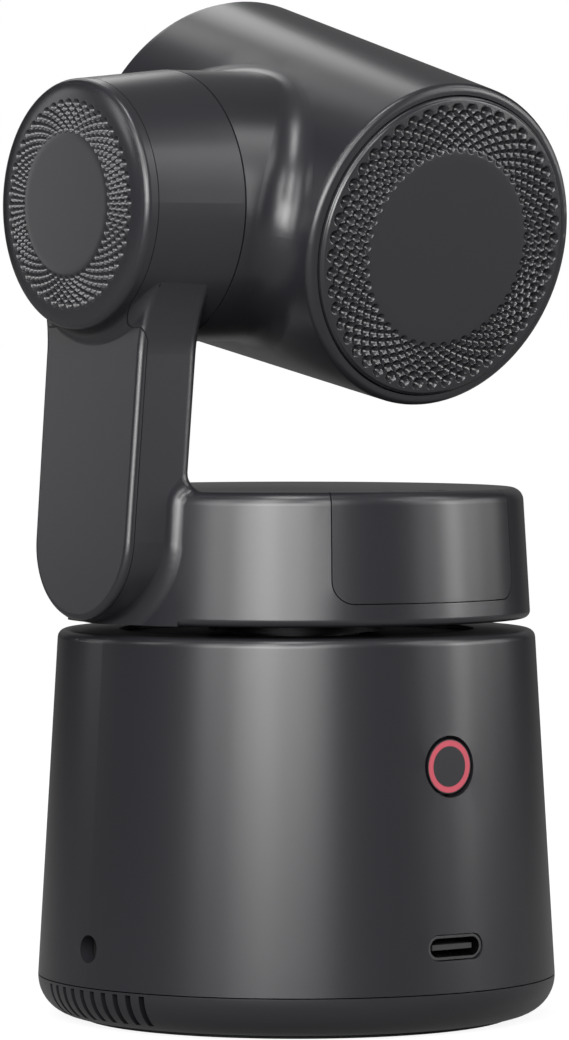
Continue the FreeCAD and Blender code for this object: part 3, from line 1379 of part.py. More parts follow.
def build_all():
    sizes_between()
    pieces = [base_shell(), bottom_cover(), foot_ring(), tripod_insert()]
    pieces.append(screws("bottom_screws", "base", "XY_Plane", s.screw_circle, 4, s.screw_seat, -1,
                         s.lip_top + 5.0 - s.screw_seat, turn=45))
    pieces += [main_board(), wireless_shield(), usb_receptacle(), usb_tongue(), audio_jack()]
    pieces += [battery_bracket(), battery_pack(), button_board(), button_switch(), status_light()]
    pieces += [power_button(), button_light_ring(), bearing_plate()]
    pieces.append(screws("deck_screws", "base", "XY_Plane", s.deck_screw_circle, 4, s.plate_low, -1,
                         s.deck_plate + 1.2, turn=45))
    pieces.append(stator("pan_stator", "base", "XY_Plane", "Z_Axis", s.pan_tube_radius,
                         s.stator_outer, s.pan_stator_low, s.pan_stator_high, s.pan_slots,
                         s.stator_back, s.stator_shoe, s.pan_tooth))
    pieces.append(coils("pan_coils", "base", "YZ_Plane", "Z_Axis", s.pan_tube_radius + s.stator_back,
                        s.stator_outer - s.stator_shoe, s.pan_stator_low, s.pan_stator_high,
                        s.pan_slots, s.pan_tooth, s.pan_wire))
    circle, gap = s.pan_ball_circle, s.race_gap
    for label, inner, outer in (("pan_bearing_outer", circle + gap, s.pan_bearing_radius),
                                ("pan_bearing_inner", s.shaft_radius, circle - gap)):
        pieces.append(ring_bearing(label, "base", "Z", s.pan_bearing_base, s.pan_bearing_width,
                                   inner, outer, circle, s.pan_ball))
    pieces.append(balls("pan_bearing_balls", "base", "Z_Axis",
                        s.pan_bearing_base + s.pan_bearing_width / 2.0, circle, s.pan_ball, 10))
    pieces += [pan_shaft(), pan_rotor()]
    pieces.append(magnets("pan_magnets", "base", "Z", s.pan_magnet_inner, s.pan_magnet_outer,
                          s.pan_stator_low, s.pan_stator_high, s.pan_magnets))
    pieces += [turret_shell(), turret_floor()]
    pieces.append(screws("floor_screws", "base", "XY_Plane", s.floor_screw_circle, 4, s.floor_high, 1,
                         s.floor_thick + 1.5))
    pieces += [arm_cover()]
    pieces.append(screws("arm_screws", "arm", "YZ_Plane", s.cover_screw_circle, 2,
                         s.cover_screw_seat, 1, s.cover_screw_seat - s.housing_back - 0.5,
                         axis="X_Axis", height=s.cover_screw_head))
    pieces.append(dimpled_cap("arm_cap", "arm", X, s.housing_outer_x - s.small_seat, s.small_rows,
                              s.small_first, s.small_last, s.small_edge, s.small_height,
                              s.small_crown))
    pieces += [port_bay(), port_board()]
    pieces.append(socket("hdmi_socket", HDMI, 0.35, s.bay_floor, 4.0))
    pieces.append(socket("card_slot", CARD, 0.3, s.bay_floor, 5.0))
    pieces += [port_flap(), flap_leash(), tilt_motor_mount()]
    pieces.append(stator("tilt_stator", "arm", "YZ_Plane", "X_Axis", s.tilt_tube,
                         s.tilt_stator_outer, s.tilt_stator_low, s.tilt_stator_high, s.tilt_slots,
                         s.tilt_back, s.tilt_shoe, s.tilt_tooth))
    pieces.append(coils("tilt_coils", "arm", "XZ_Plane", "X_Axis", s.tilt_tube + s.tilt_back,
                        s.tilt_stator_outer - s.tilt_shoe, s.tilt_stator_low, s.tilt_stator_high,
                        s.tilt_slots, s.tilt_tooth, s.tilt_wire))
    circle, gap = s.tilt_ball_circle, s.race_gap * 0.8
    for label, inner, outer in (("tilt_bearing_outer", circle + gap, s.tilt_bearing_radius),
                                ("tilt_bearing_inner", s.tilt_shaft, circle - gap)):
        pieces.append(ring_bearing(label, "arm", "X", s.tilt_bearing_x, s.tilt_bearing_width,
                                   inner, outer, circle, s.tilt_ball))
    pieces.append(balls("tilt_bearing_balls", "arm", "X_Axis",
                        s.tilt_bearing_x + s.tilt_bearing_width / 2.0, circle, s.tilt_ball, 8))
    pieces += [tilt_shaft(), tilt_rotor()]
    pieces.append(magnets("tilt_magnets", "arm", "X", s.tilt_magnet_inner, s.tilt_magnet_outer,
                          s.tilt_stator_low + 0.2, s.tilt_stator_high, s.tilt_magnets))
    pieces += [head_barrel(), front_bezel(), front_glass(), front_baffle(), lens_barrel()]
    pieces += [front_lens(), rear_lens(), image_sensor(), head_disc("sensor_board", -s.lens_barrel_rear)]
    pieces += [head_disc("processor_board", s.processor_face), heat_sink()]
    pieces.append(dimpled_cap("rear_cap", "barrel", Y, s.barrel_rear - s.cap_seat_depth, s.big_rows,
                              s.big_first, s.big_last, s.big_edge, s.big_height, s.big_crown))
    return pieces


def main():
    fill_sheet()
    pieces = build_all()
    doc.recompute()
    for item in doc.Objects:
        if "Invalid" in item.State or "Error" in item.State:
            raise RuntimeError("%s is in state %s" % (item.Label, item.State))
    os.makedirs("parts", exist_ok=True)
    for piece in pieces:
        shape = piece.Shape
        if shape.isNull() or not shape.isValid() or not shape.Solids:
            raise RuntimeError("%s has no valid solid" % piece.Label)
    for piece in pieces:
        piece.Shape.exportStep("parts/%s.step" % piece.Label)
        print(piece.Label, len(piece.Shape.Solids), "solids", round(piece.Shape.Volume, 1), "mm3")
    print(len(pieces), "nodes")


main()
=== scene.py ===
"""The looks of the pan-tilt camera: its materials, its smooth dimpled caps, the light and the view."""

import json
import math

import bmesh
import bpy
from mathutils import Matrix, Vector

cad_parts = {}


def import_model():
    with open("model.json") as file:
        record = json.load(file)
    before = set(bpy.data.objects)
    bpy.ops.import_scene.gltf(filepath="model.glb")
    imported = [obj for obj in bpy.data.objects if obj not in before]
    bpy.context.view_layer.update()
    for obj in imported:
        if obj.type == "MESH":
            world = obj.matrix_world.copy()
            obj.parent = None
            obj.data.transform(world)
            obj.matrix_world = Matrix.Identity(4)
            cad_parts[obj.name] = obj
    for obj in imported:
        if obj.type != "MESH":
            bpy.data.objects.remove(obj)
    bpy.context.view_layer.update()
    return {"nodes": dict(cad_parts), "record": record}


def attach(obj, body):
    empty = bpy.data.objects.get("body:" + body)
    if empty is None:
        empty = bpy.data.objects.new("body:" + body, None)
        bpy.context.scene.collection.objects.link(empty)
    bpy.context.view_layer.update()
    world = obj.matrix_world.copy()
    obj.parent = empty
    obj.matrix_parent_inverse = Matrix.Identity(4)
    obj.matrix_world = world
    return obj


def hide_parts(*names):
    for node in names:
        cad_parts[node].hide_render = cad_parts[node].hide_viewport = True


MM = 0.001

# The photograph's frame, in pixels, and the view that it was taken from.
FRAME_WIDTH = 569
FRAME_HEIGHT = 1040
SENSOR = 36.0
FOCAL_PIXELS = 6252.6
VIEW_AZIMUTH = 142.54
VIEW_ELEVATION = 1.59
VIEW_DISTANCE = 0.84609
VIEW_TARGET = Vector((0, 0, 0.07))
TARGET_PIXEL = (296.46, 498.67)
CLIP_START = 0.01
CLIP_END = 50

# Lamps, all of one size and distance: azimuth from the camera's side, elevation, power.
LAMP_WIDTH = 0.10
LAMP_HEIGHT = 0.24
LAMP_DISTANCE = 0.55
LAMPS = {
    "key": (-13, 12, 1.28),
    "key_left": (-24, 12, 0.88),
    "key_far_left": (-40, 13, 0.62),
    "key_right": (-1, 12, 0.78),
    "key_far_right": (9, 12, 0.55),
    "key_high": (-16, 40, 1.00),
    "key_left_high": (-42, 36, 0.42),
    "key_right_high": (14, 36, 0.60),
    "top": (-10, 76, 0.80),
    "right_near": (66, 12, 0.20),
    "right_near_high": (68, 36, 0.34),
    "right": (83, 12, 0.86),
    "right_far": (98, 12, 0.34),
    "right_rear": (113, 12, 0.20),
    "right_high": (92, 42, 0.38),
    "left_high": (-78, 30, 0.30),
    "left_rear": (-110, 12, 0.15),
    "rear_left_high": (-150, 46, 0.20),
    "rear_high": (-172, 42, 0.20),
}

# The world as plain light on the object, and how much of the white surroundings gloss picks up.
AMBIENT = 0.05
GLOSS_SHARE = 0.12

# The floor's half width and grey, and its own white at two distances from the middle: less under
# the object, so that its shadow stays.
FLOOR_REACH = 20
FLOOR_GREY = 0.15
FLOOR_NEAR = (0.045, 0.90)
FLOOR_FAR = (0.30, 1.0)

# The dark curtain in the reflections: its grey, radius, height and half angle.
CURTAIN_GREY = 0.02
CURTAIN_RADIUS = 1.3
CURTAIN_HEIGHT = 1.6
CURTAIN_ANGLE = 150
CURTAIN_STEPS = 48

# Pits in each row of a cap, and how far a pit reaches, as a share of half the way to its neighbours.
PITS_ROUND = 48
PIT_FILL = 1.16

# How far pits reach inside the first row and outside the last, in rows.
ROWS_BEFORE = 1.4
ROWS_AFTER = 1.4

# Rings of the mesh on a cap's smooth middle, as shares of its radius, and steps of the mesh: round
# a pit, from row to row, across the band outside them and round the rim.
MIDDLE_RINGS = (0.35, 0.7, 0.93)
PIT_STEPS = 16
ROW_STEPS = 10
BAND_STEPS = 8
RIM_STEPS = 8

# A cap's edges sharper than this stay sharp, and points this near to the lowest are its flat back.
SHARP_ANGLE = math.radians(50)
BACK_DEPTH = 0.01 * MM

# How far the head's back looks down at rest.
REST_TILT = math.radians(13)

# The dimpled caps, in millimetres from the flat back: rows of pits between two radii, the dome's
# edge and rise, and the round that its outer band runs into: the round's middle (radius and
# height), its radius, where it begins and ends in degrees from the front, and the skin over it.
CAPS = {
    "rear_dimples": {
        "node": "rear_cap", "body": "head", "facing": (0, math.cos(REST_TILT), -math.sin(REST_TILT)),
        "rows": 8, "first": 13.5, "last": 18.6, "depth": 1.1,
        "edge": 20.25, "height": 3.4, "crown": 1.3,
        "rim_middle": (20.0, 3.0), "rim_radius": 0.25, "rim_from": 25, "rim_to": 90, "skin": 0.0,
    },
    "arm_dimples": {
        "node": "arm_cap", "body": "turret", "facing": (1, 0, 0),
        "rows": 7, "first": 9.85, "last": 13.25, "depth": 0.75,
        "edge": 15.0, "height": 0.8, "crown": 1.16,
        "rim_middle": (15.5, -0.5), "rim_radius": 1.03, "rim_from": 25, "rim_to": 80, "skin": 0.025,
    },
}

# The face of the button's ring from its middle out, as shares of its width: where its inner edge of painted
# shade ends, where it glows in full, where that ends, and where its outer edge of painted shade begins;
# that painted shade stands in for the gaps beside the ring.
GLOW_STOPS = (0.368, 0.382, 0.474, 0.486)
# The colour of the painted shade of the gaps at the ring's edges.
RING_GAP_SHADE = (0.006, 0.006, 0.007)
GLOW_STRENGTH = (0.16, 0.22)

# Nodes whose finish differs from their slot's: plates, shaft and screws seen through the gap under the
# turret, darkened as painted shade of that gap, and a nickel plug shell.
DRESSED_APART = {
    "bearing_plate": "dark_metal",
    "turret_floor": "dark_metal",
    "pan_rotor": "dark_metal",
    "pan_shaft": "dark_metal",
    "deck_screws": "dark_metal",
    "usb_receptacle": "socket_metal",
}

# Slots of the record, and how each is finished: kind, colour, roughness.
FINISHES = {
    "shell": ("satin", (0.0132, 0.0128, 0.0152), 0.29),
    "cap": ("satin", (0.0150, 0.0147, 0.0170), 0.25),
    "rubber": ("rubber", (0.030, 0.030, 0.031), 0.75),
    "steel": ("metal", (0.60, 0.60, 0.62), 0.28),
    "brass": ("metal", (0.78, 0.58, 0.28), 0.30),
    "board": ("board", (0.015, 0.085, 0.040), 0.35),
    "copper": ("wire", (0.72, 0.34, 0.16), 0.30),
    "iron": ("metal", (0.30, 0.30, 0.31), 0.45),
    "magnet": ("metal", (0.65, 0.65, 0.67), 0.18),
    "aluminium": ("metal", (0.70, 0.70, 0.72), 0.34),
    "black_plastic": ("satin", (0.018, 0.018, 0.019), 0.45),
    "battery": ("wrap", (0.10, 0.16, 0.26), 0.30),
    "front_glass": ("glass", (0.02, 0.02, 0.024), 0.03),
    "lens_glass": ("lens", (0.10, 0.12, 0.20), 0.02),
    "light": ("lit", (0.85, 0.85, 0.85), 0.30),
    "ring_light": ("ring", (0.32, 0.040, 0.060), 0.40),
    # Near black metal: painted shade on the parts inside the gap under the turret.
    "dark_metal": ("metal", (0.030, 0.030, 0.032), 0.42),
    "socket_metal": ("metal", (0.16, 0.16, 0.165), 0.24),
}


def direction(azimuth, elevation):
    """The unit vector from the object to a place at that azimuth and elevation."""
    a = math.radians(azimuth)
    e = math.radians(elevation)
    return Vector((math.sin(a) * math.cos(e), -math.cos(a) * math.cos(e), math.sin(e)))


def add_camera():
    """The camera at the photograph's view, shifted so that the object stands where it does there."""
    data = bpy.data.cameras.new("view")
    camera = bpy.data.objects.new("view", data)
    bpy.context.scene.collection.objects.link(camera)
    back = direction(VIEW_AZIMUTH, VIEW_ELEVATION)
    camera.location = VIEW_TARGET + back * VIEW_DISTANCE
    camera.rotation_mode = "QUATERNION"
    camera.rotation_quaternion = (-back).to_track_quat("-Z", "Y")
    data.sensor_width = SENSOR
    data.lens = SENSOR * FOCAL_PIXELS / FRAME_HEIGHT
    data.shift_x = (FRAME_WIDTH / 2 - TARGET_PIXEL[0]) / FRAME_HEIGHT
    data.shift_y = (TARGET_PIXEL[1] - FRAME_HEIGHT / 2) / FRAME_HEIGHT
    data.clip_start = CLIP_START
    data.clip_end = CLIP_END
    bpy.context.scene.camera = camera


def add_lamps():
    """Tall soft lamps round the object, none of them seen by the camera itself."""
    for name, (azimuth, elevation, power) in LAMPS.items():
        data = bpy.data.lights.new(name, "AREA")
        data.shape = "RECTANGLE"
        data.size = LAMP_WIDTH
        data.size_y = LAMP_HEIGHT
        data.energy = power
        lamp = bpy.data.objects.new(name, data)
        bpy.context.scene.collection.objects.link(lamp)
        back = direction(VIEW_AZIMUTH + azimuth, elevation)
        lamp.location = VIEW_TARGET + back * LAMP_DISTANCE
        lamp.rotation_mode = "QUATERNION"
        lamp.rotation_quaternion = (-back).to_track_quat("-Z", "Y")
        lamp.visible_camera = False


def combined(tree, operation, first, second):
    """Two numbers joined by one sum, each a number or another node's output."""
    node = tree.nodes.new("ShaderNodeMath")
    node.operation = operation
    for socket, value in zip(node.inputs, (first, second)):
        if isinstance(value, bpy.types.NodeSocket):
            tree.links.new(value, socket)
        else:
            socket.default_value = value
    return node.outputs[0]


def seen_rays(tree):
    """A value of 1 for rays from the camera and through glass, and a share of it in reflections."""
    path = tree.nodes.new("ShaderNodeLightPath")
    gloss = combined(tree, "MULTIPLY", path.outputs["Is Glossy Ray"], GLOSS_SHARE)
    straight = combined(tree, "MAXIMUM", path.outputs["Is Camera Ray"], path.outputs["Is Transmission Ray"])
    return combined(tree, "MAXIMUM", straight, gloss)


def add_world():
    """White where it is seen, and only a little plain light on the object."""
    world = bpy.data.worlds.new("studio")
    bpy.context.scene.world = world
    world.use_nodes = True
    tree = world.node_tree
    background = tree.nodes["Background"]
    background.inputs["Color"].default_value = (1, 1, 1, 1)
    strength = ranged(tree, seen_rays(tree), AMBIENT, 1.0)
    tree.links.new(strength, background.inputs["Strength"])


def staged(name, form, grey):
    """A piece of the studio with a matt finish."""
    mesh = bpy.data.meshes.new(name)
    form.to_mesh(mesh)
    form.free()
    piece = bpy.data.objects.new(name, mesh)
    bpy.context.scene.collection.objects.link(piece)
    material, tree, shader = new_material(name)
    shader.inputs["Base Color"].default_value = (grey, grey, grey, 1)
    shader.inputs["Roughness"].default_value = 1.0
    shader.inputs["Specular IOR Level"].default_value = 0
    mesh.materials.append(material)
    return piece, tree, shader


def add_floor():
    """A white floor that keeps the shadow."""
    form = bmesh.new()
    bmesh.ops.create_grid(form, x_segments=1, y_segments=1, size=FLOOR_REACH)
    floor, tree, shader = staged("floor", form, FLOOR_GREY)
    away = vector_math(tree, "LENGTH", place_in_object(tree))
    glow = tree.nodes.new("ShaderNodeMapRange")
    glow.interpolation_type = "SMOOTHSTEP"
    glow.inputs["From Min"].default_value = FLOOR_NEAR[0]
    glow.inputs["From Max"].default_value = FLOOR_FAR[0]
    glow.inputs["To Min"].default_value = FLOOR_NEAR[1]
    glow.inputs["To Max"].default_value = FLOOR_FAR[1]
    tree.links.new(away.outputs["Value"], glow.inputs["Value"])
    shader.inputs["Emission Color"].default_value = (1, 1, 1, 1)
    strength = combined(tree, "MULTIPLY", glow.outputs["Result"], seen_rays(tree))
    tree.links.new(strength, shader.inputs["Emission Strength"])


def add_curtain():
    """A dark curtain round the front and sides that only reflections see."""
    form = bmesh.new()
    low = []
    high = []
    for i in range(CURTAIN_STEPS + 1):
        turn = 2 * CURTAIN_ANGLE * i / CURTAIN_STEPS - CURTAIN_ANGLE
        foot = direction(VIEW_AZIMUTH + turn, 0) * CURTAIN_RADIUS
        low.append(form.verts.new(foot))
        high.append(form.verts.new(foot + Vector((0, 0, CURTAIN_HEIGHT))))
    for i in range(CURTAIN_STEPS):
        form.faces.new((low[i], low[i + 1], high[i + 1], high[i]))
    curtain = staged("curtain", form, CURTAIN_GREY)[0]
    curtain.visible_camera = False
    curtain.visible_diffuse = False
    curtain.visible_shadow = False
    curtain.visible_transmission = False


def new_material(name):
    """A new material with its node tree and its shader."""
    material = bpy.data.materials.new(name)
    material.use_nodes = True
    tree = material.node_tree
    return material, tree, tree.nodes["Principled BSDF"]


def place_in_object(tree):
    return tree.nodes.new("ShaderNodeTexCoord").outputs["Object"]


def noise(tree, place, scale, detail=2.0, roughness=0.5):
    """Soft noise at that place: its scale is in waves to the metre."""
    node = tree.nodes.new("ShaderNodeTexNoise")
    node.inputs["Scale"].default_value = scale
    node.inputs["Detail"].default_value = detail
    node.inputs["Roughness"].default_value = roughness
    tree.links.new(place, node.inputs["Vector"])
    return node.outputs["Fac"]


def ranged(tree, value, low, high):
    """The value from 0 to 1 spread over low to high."""
    node = tree.nodes.new("ShaderNodeMapRange")
    node.inputs["To Min"].default_value = low
    node.inputs["To Max"].default_value = high
    tree.links.new(value, node.inputs["Value"])
    return node.outputs["Result"]


def shaded(tree, value, colour, low, high):
    """The colour, darker or paler by low to high as the value goes from 0 to 1."""
    node = tree.nodes.new("ShaderNodeMix")
    node.data_type = "RGBA"
    node.inputs[6].default_value = (*[c * low for c in colour], 1)
    node.inputs[7].default_value = (*[c * high for c in colour], 1)
    tree.links.new(value, node.inputs["Factor"])
    return node.outputs[2]


def bumped(tree, shader, height, strength, distance):
    """The height as fine relief in the shader's normal."""
    node = tree.nodes.new("ShaderNodeBump")
    node.inputs["Strength"].default_value = strength
    node.inputs["Distance"].default_value = distance
    tree.links.new(height, node.inputs["Height"])
    tree.links.new(node.outputs["Normal"], shader.inputs["Normal"])


def satin(name, colour, roughness):
    """Moulded plastic with a fine spark-eroded grain and a soft sheen."""
    material, tree, shader = new_material(name)
    place = place_in_object(tree)
    grain = noise(tree, place, scale=5200, detail=3.0, roughness=0.6)
    cloud = noise(tree, place, scale=60, detail=3.0)
    tree.links.new(shaded(tree, cloud, colour, 0.96, 1.04), shader.inputs["Base Color"])
    tree.links.new(ranged(tree, grain, roughness - 0.03, roughness + 0.03), shader.inputs["Roughness"])
    bumped(tree, shader, grain, strength=0.06, distance=0.03 * MM)
    return material


def metal(name, colour, roughness):
    """Machined metal with fine scratches."""
    material, tree, shader = new_material(name)
    place = place_in_object(tree)
    scratch = noise(tree, place, scale=2400, detail=4.0, roughness=0.6)
    shader.inputs["Metallic"].default_value = 1.0
    tree.links.new(shaded(tree, scratch, colour, 0.92, 1.05), shader.inputs["Base Color"])
    tree.links.new(ranged(tree, scratch, roughness - 0.06, roughness + 0.08), shader.inputs["Roughness"])
    bumped(tree, shader, scratch, strength=0.08, distance=0.03 * MM)
    return material


def wire(name, colour, roughness):
    """Enamelled wire wound in strands."""
    material, tree, shader = new_material(name)
    place = place_in_object(tree)
    strands = tree.nodes.new("ShaderNodeTexWave")
    strands.inputs["Scale"].default_value = 900
    strands.inputs["Distortion"].default_value = 1.5
    tree.links.new(place, strands.inputs["Vector"])
    shader.inputs["Metallic"].default_value = 1.0
    shader.inputs["Coat Weight"].default_value = 0.6
    tree.links.new(shaded(tree, strands.outputs["Fac"], colour, 0.6, 1.1), shader.inputs["Base Color"])
    shader.inputs["Roughness"].default_value = roughness
    bumped(tree, shader, strands.outputs["Fac"], strength=0.4, distance=0.1 * MM)
    return material


def rubber(name, colour, roughness):
    """Matt rubber with a coarse grain."""
    material, tree, shader = new_material(name)
    place = place_in_object(tree)
    grain = noise(tree, place, scale=2500, detail=3.0, roughness=0.65)
    tree.links.new(shaded(tree, grain, colour, 0.85, 1.2), shader.inputs["Base Color"])
    tree.links.new(ranged(tree, grain, roughness - 0.1, roughness + 0.1), shader.inputs["Roughness"])
    bumped(tree, shader, grain, strength=0.25, distance=0.08 * MM)
    return material


def board(name, colour, roughness):
    """A circuit board's solder mask over its tracks."""
    material, tree, shader = new_material(name)
    place = place_in_object(tree)
    cells = tree.nodes.new("ShaderNodeTexVoronoi")
    cells.feature = "DISTANCE_TO_EDGE"
    cells.inputs["Scale"].default_value = 420
    tree.links.new(place, cells.inputs["Vector"])
    edge = ranged(tree, cells.outputs["Distance"], 0.0, 1.0)
    tree.links.new(shaded(tree, edge, colour, 1.5, 0.9), shader.inputs["Base Color"])
    shader.inputs["Roughness"].default_value = roughness
    bumped(tree, shader, edge, strength=0.1, distance=0.05 * MM)
    return material


def wrap(name, colour, roughness):
    """Shrink film with slight folds."""
    material, tree, shader = new_material(name)
    place = place_in_object(tree)
    folds = noise(tree, place, scale=140, detail=3.0)
    tree.links.new(shaded(tree, folds, colour, 0.85, 1.1), shader.inputs["Base Color"])
    tree.links.new(ranged(tree, folds, roughness - 0.05, roughness + 0.1), shader.inputs["Roughness"])
    bumped(tree, shader, folds, strength=0.15, distance=0.3 * MM)
    return material


def glass(name, colour, roughness):
    """Dark glass that shows a little of what is behind it."""
    material, tree, shader = new_material(name)
    place = place_in_object(tree)
    smear = noise(tree, place, scale=90)
    tree.links.new(shaded(tree, smear, colour, 0.9, 1.1), shader.inputs["Base Color"])
    tree.links.new(ranged(tree, smear, roughness, roughness + 0.03), shader.inputs["Roughness"])
    shader.inputs["Coat Weight"].default_value = 0.5
    shader.inputs["Coat Roughness"].default_value = 0.02
    shader.inputs["Alpha"].default_value = 0.55
    return material


def lens(name, colour, roughness):
    """Coated lens glass with a violet tint in its gloss."""
    material, tree, shader = new_material(name)
    place = place_in_object(tree)
    smear = noise(tree, place, scale=200)
    tree.links.new(shaded(tree, smear, colour, 0.9, 1.1), shader.inputs["Base Color"])
    shader.inputs["Roughness"].default_value = roughness
    shader.inputs["Transmission Weight"].default_value = 0.6
    shader.inputs["Coat Weight"].default_value = 1.0
    shader.inputs["Coat Tint"].default_value = (0.5, 0.35, 0.9, 1)
    return material


def lit(name, colour, roughness):
    """A milky light pipe, unlit."""
    material, tree, shader = new_material(name)
    place = place_in_object(tree)
    haze = noise(tree, place, scale=700)
    tree.links.new(shaded(tree, haze, colour, 0.95, 1.0), shader.inputs["Base Color"])
    shader.inputs["Roughness"].default_value = roughness
    shader.inputs["Subsurface Weight"].default_value = 0.2
    shader.inputs["Subsurface Scale"].default_value = 0.001
    return material


def from_axis(tree):
    """How far a spot is from the middle of its node's box, seen along y, as a share of the width."""
    box = tree.nodes.new("ShaderNodeTexCoord").outputs["Generated"]
    centred = vector_math(tree, "SUBTRACT", box, (0.5, 0.5, 0.5))
    flat = vector_math(tree, "MULTIPLY", centred.outputs["Vector"], (1, 0, 1))
    return vector_math(tree, "LENGTH", flat.outputs["Vector"]).outputs["Value"]


def vector_math(tree, operation, value, other=None):
    node = tree.nodes.new("ShaderNodeVectorMath")
    node.operation = operation
    tree.links.new(value, node.inputs[0])
    if other:
        node.inputs[1].default_value = other
    return node


def ring(name, colour, roughness):
    """A translucent light guide whose edges are painted dark as the shade of the gaps beside it, so that
    only the middle of its face glows.
    """
    material, tree, shader = new_material(name)
    ramp = tree.nodes.new("ShaderNodeValToRGB")
    stops = ramp.color_ramp.elements
    while len(stops) < len(GLOW_STOPS):
        stops.new(1)
    # The dark stops at both ends are painted shade of the gaps round the ring.
    for stop, position, shade in zip(stops, GLOW_STOPS, (RING_GAP_SHADE, colour, colour, RING_GAP_SHADE)):
        stop.position = position
        stop.color = (*shade, 1)
    tree.links.new(from_axis(tree), ramp.inputs["Fac"])
    haze = noise(tree, place_in_object(tree), scale=900)
    tree.links.new(ramp.outputs["Color"], shader.inputs["Base Color"])
    tree.links.new(ramp.outputs["Color"], shader.inputs["Emission Color"])
    tree.links.new(ranged(tree, haze, *GLOW_STRENGTH), shader.inputs["Emission Strength"])
    shader.inputs["Roughness"].default_value = roughness
    return material


KINDS = {
    "satin": satin,
    "metal": metal,
    "wire": wire,
    "rubber": rubber,
    "board": board,
    "wrap": wrap,
    "glass": glass,
    "lens": lens,
    "lit": lit,
    "ring": ring,
}


def dress(frame):
    """Every node of the model gets the material of its slot, save those dressed apart."""
    materials = {}
    for slot, (kind, colour, roughness) in FINISHES.items():
        materials[slot] = KINDS[kind](slot, colour, roughness)
    for row in frame["record"]["subparts"]:
        finish = DRESSED_APART.get(row["node"], row["material_slot"])
        for place in frame["nodes"][row["node"]].material_slots:
            place.material = materials[finish]
    return materials


def row_growth(cap):
    """How much wider each row of pits is than the row inside it."""
    return (cap["last"] / cap["first"]) ** (1 / (cap["rows"] - 1))


def dome_height(cap, radius):
    """The height of the cap's dome without its pits."""
    return cap["height"] + cap["crown"] * (1 - (radius / cap["edge"]) ** 2)


def pit_depth(cap, radius, turns):
    """How deep the cap is sunk at that radius, where turns counts pits round the ring."""
    growth = row_growth(cap)
    nearest = round(math.log(radius / cap["first"], growth))
    deepest = 0.0
    for row in range(max(0, nearest - 1), min(cap["rows"], nearest + 2)):
        middle = cap["first"] * growth ** row
        half_step = math.pi * middle / PITS_ROUND
        reach = PIT_FILL * math.hypot(half_step, middle * math.log(growth)) / 2
        shift = turns - (row % 2) / 2
        along = (shift - round(shift)) * 2 * half_step
        away = (along ** 2 + (radius - middle) ** 2) / reach ** 2
        if away < 1:
            deepest = max(deepest, cap["depth"] * middle / cap["last"] * (1 - away))
    return deepest


def cap_rings(cap):
    """The cap's rings from the middle out: radius, height without pits, and whether pits reach it."""
    growth = row_growth(cap)
    flat = cap["first"] / growth ** ROWS_BEFORE
    rings = [(flat * share, dome_height(cap, flat), False) for share in MIDDLE_RINGS]
    for i in range(round((cap["rows"] - 1 + ROWS_BEFORE + ROWS_AFTER) * ROW_STEPS) + 1):
        radius = flat * growth ** (i / ROW_STEPS)
        rings.append((radius, dome_height(cap, radius), True))
    rim = [rim_spot(cap, i / RIM_STEPS, 0.0) for i in range(RIM_STEPS + 1)]
    rings += band_rings(cap, rings[-1], rim[0])
    rings += rim
    if cap["skin"]:
        rings += [rim_spot(cap, 1 - i / RIM_STEPS, cap["skin"]) for i in range(RIM_STEPS + 1)]
        rings.append((cap["edge"], rings[-1][1], False))
    rings.append((cap["edge"], 0.0, False))
    return rings


def band_rings(cap, last, first):
    """Rings of the smooth band from the last ring of the dome to the first ring of the rim."""
    start, height = last[:2]
    end, rim_height = first[:2]
    width = end - start
    slope = -2 * cap["crown"] * start / cap["edge"] ** 2
    rim_slope = -math.tan(math.radians(cap["rim_from"]))
    rings = []
    for i in range(1, BAND_STEPS):
        t = i / BAND_STEPS
        level = (height * (1 + 2 * t) * (1 - t) ** 2 + slope * width * t * (1 - t) ** 2
                 + rim_height * t * t * (3 - 2 * t) - rim_slope * width * t * t * (1 - t))
        rings.append((start + width * t, level, False))
    return rings


def rim_spot(cap, share, under):
    """A ring on the round at the cap's rim, share of the way along it and under its face."""
    turn = math.radians(cap["rim_from"] + (cap["rim_to"] - cap["rim_from"]) * share)
    reach = cap["rim_radius"] - under
    middle, level = cap["rim_middle"]
    return (middle + reach * math.sin(turn), level + reach * math.cos(turn), False)


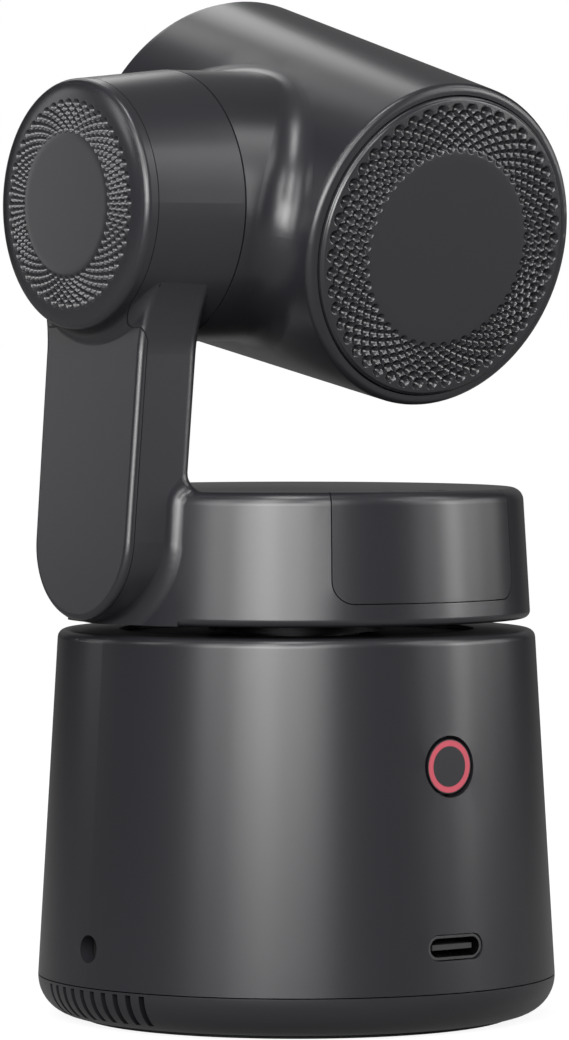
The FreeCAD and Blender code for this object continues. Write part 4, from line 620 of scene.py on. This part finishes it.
def flat_back(node, facing):
    """The middle of the node's flat back, from its points that lie farthest back."""
    points = {tuple(round(c, 7) for c in v.co) for v in node.data.vertices}
    lowest = min(Vector(p).dot(facing) for p in points)
    back = [Vector(p) for p in points if Vector(p).dot(facing) < lowest + BACK_DEPTH]
    return sum(back, Vector()) / len(back)


def cap_points(cap, rings, spokes):
    """The points of the cap's mesh: its middle, then each ring in turn."""
    points = [(0, 0, rings[0][1])]
    for radius, level, pitted in rings:
        sunk = [pit_depth(cap, radius, k / PIT_STEPS) if pitted else 0.0 for k in range(PIT_STEPS)]
        for k in range(spokes):
            turn = 2 * math.pi * k / spokes
            points.append((radius * math.cos(turn), radius * math.sin(turn), level - sunk[k % PIT_STEPS]))
    return points


def cap_faces(rings, spokes):
    """The faces of the cap's mesh: a fan in the middle, bands between rings, and the flat back."""
    faces = []
    for k in range(spokes):
        after = (k + 1) % spokes
        faces.append((0, 1 + k, 1 + after))
        for ring_number in range(rings - 1):
            near = 1 + ring_number * spokes
            far = near + spokes
            faces.append((near + k, far + k, far + after, near + after))
    last = 1 + (rings - 1) * spokes
    faces.append(tuple(last + k for k in reversed(range(spokes))))
    return faces


def dimpled_cap(name, cap, node, material):
    """A smooth dome with rings of round pits, each ring half a step from the next."""
    spokes = PITS_ROUND * PIT_STEPS
    rings = cap_rings(cap)
    mesh = bpy.data.meshes.new(name)
    mesh.from_pydata(cap_points(cap, rings, spokes), [], cap_faces(len(rings), spokes))
    facing = Vector(cap["facing"])
    turned = facing.to_track_quat("Z", "Y").to_matrix().to_4x4()
    mesh.transform(Matrix.Translation(flat_back(node, facing)) @ turned @ Matrix.Scale(MM, 4))
    mesh.materials.append(material)
    mesh.shade_smooth()
    mesh.set_sharp_from_angle(angle=SHARP_ANGLE)
    piece = bpy.data.objects.new(name, mesh)
    bpy.context.scene.collection.objects.link(piece)
    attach(piece, cap["body"])
    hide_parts(cap["node"])


def main():
    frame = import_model()
    bpy.context.scene.view_settings.view_transform = "Standard"
    materials = dress(frame)
    for name, cap in CAPS.items():
        dimpled_cap(name, cap, frame["nodes"][cap["node"]], materials["cap"])
    add_camera()
    add_lamps()
    add_world()
    add_floor()
    add_curtain()


main()
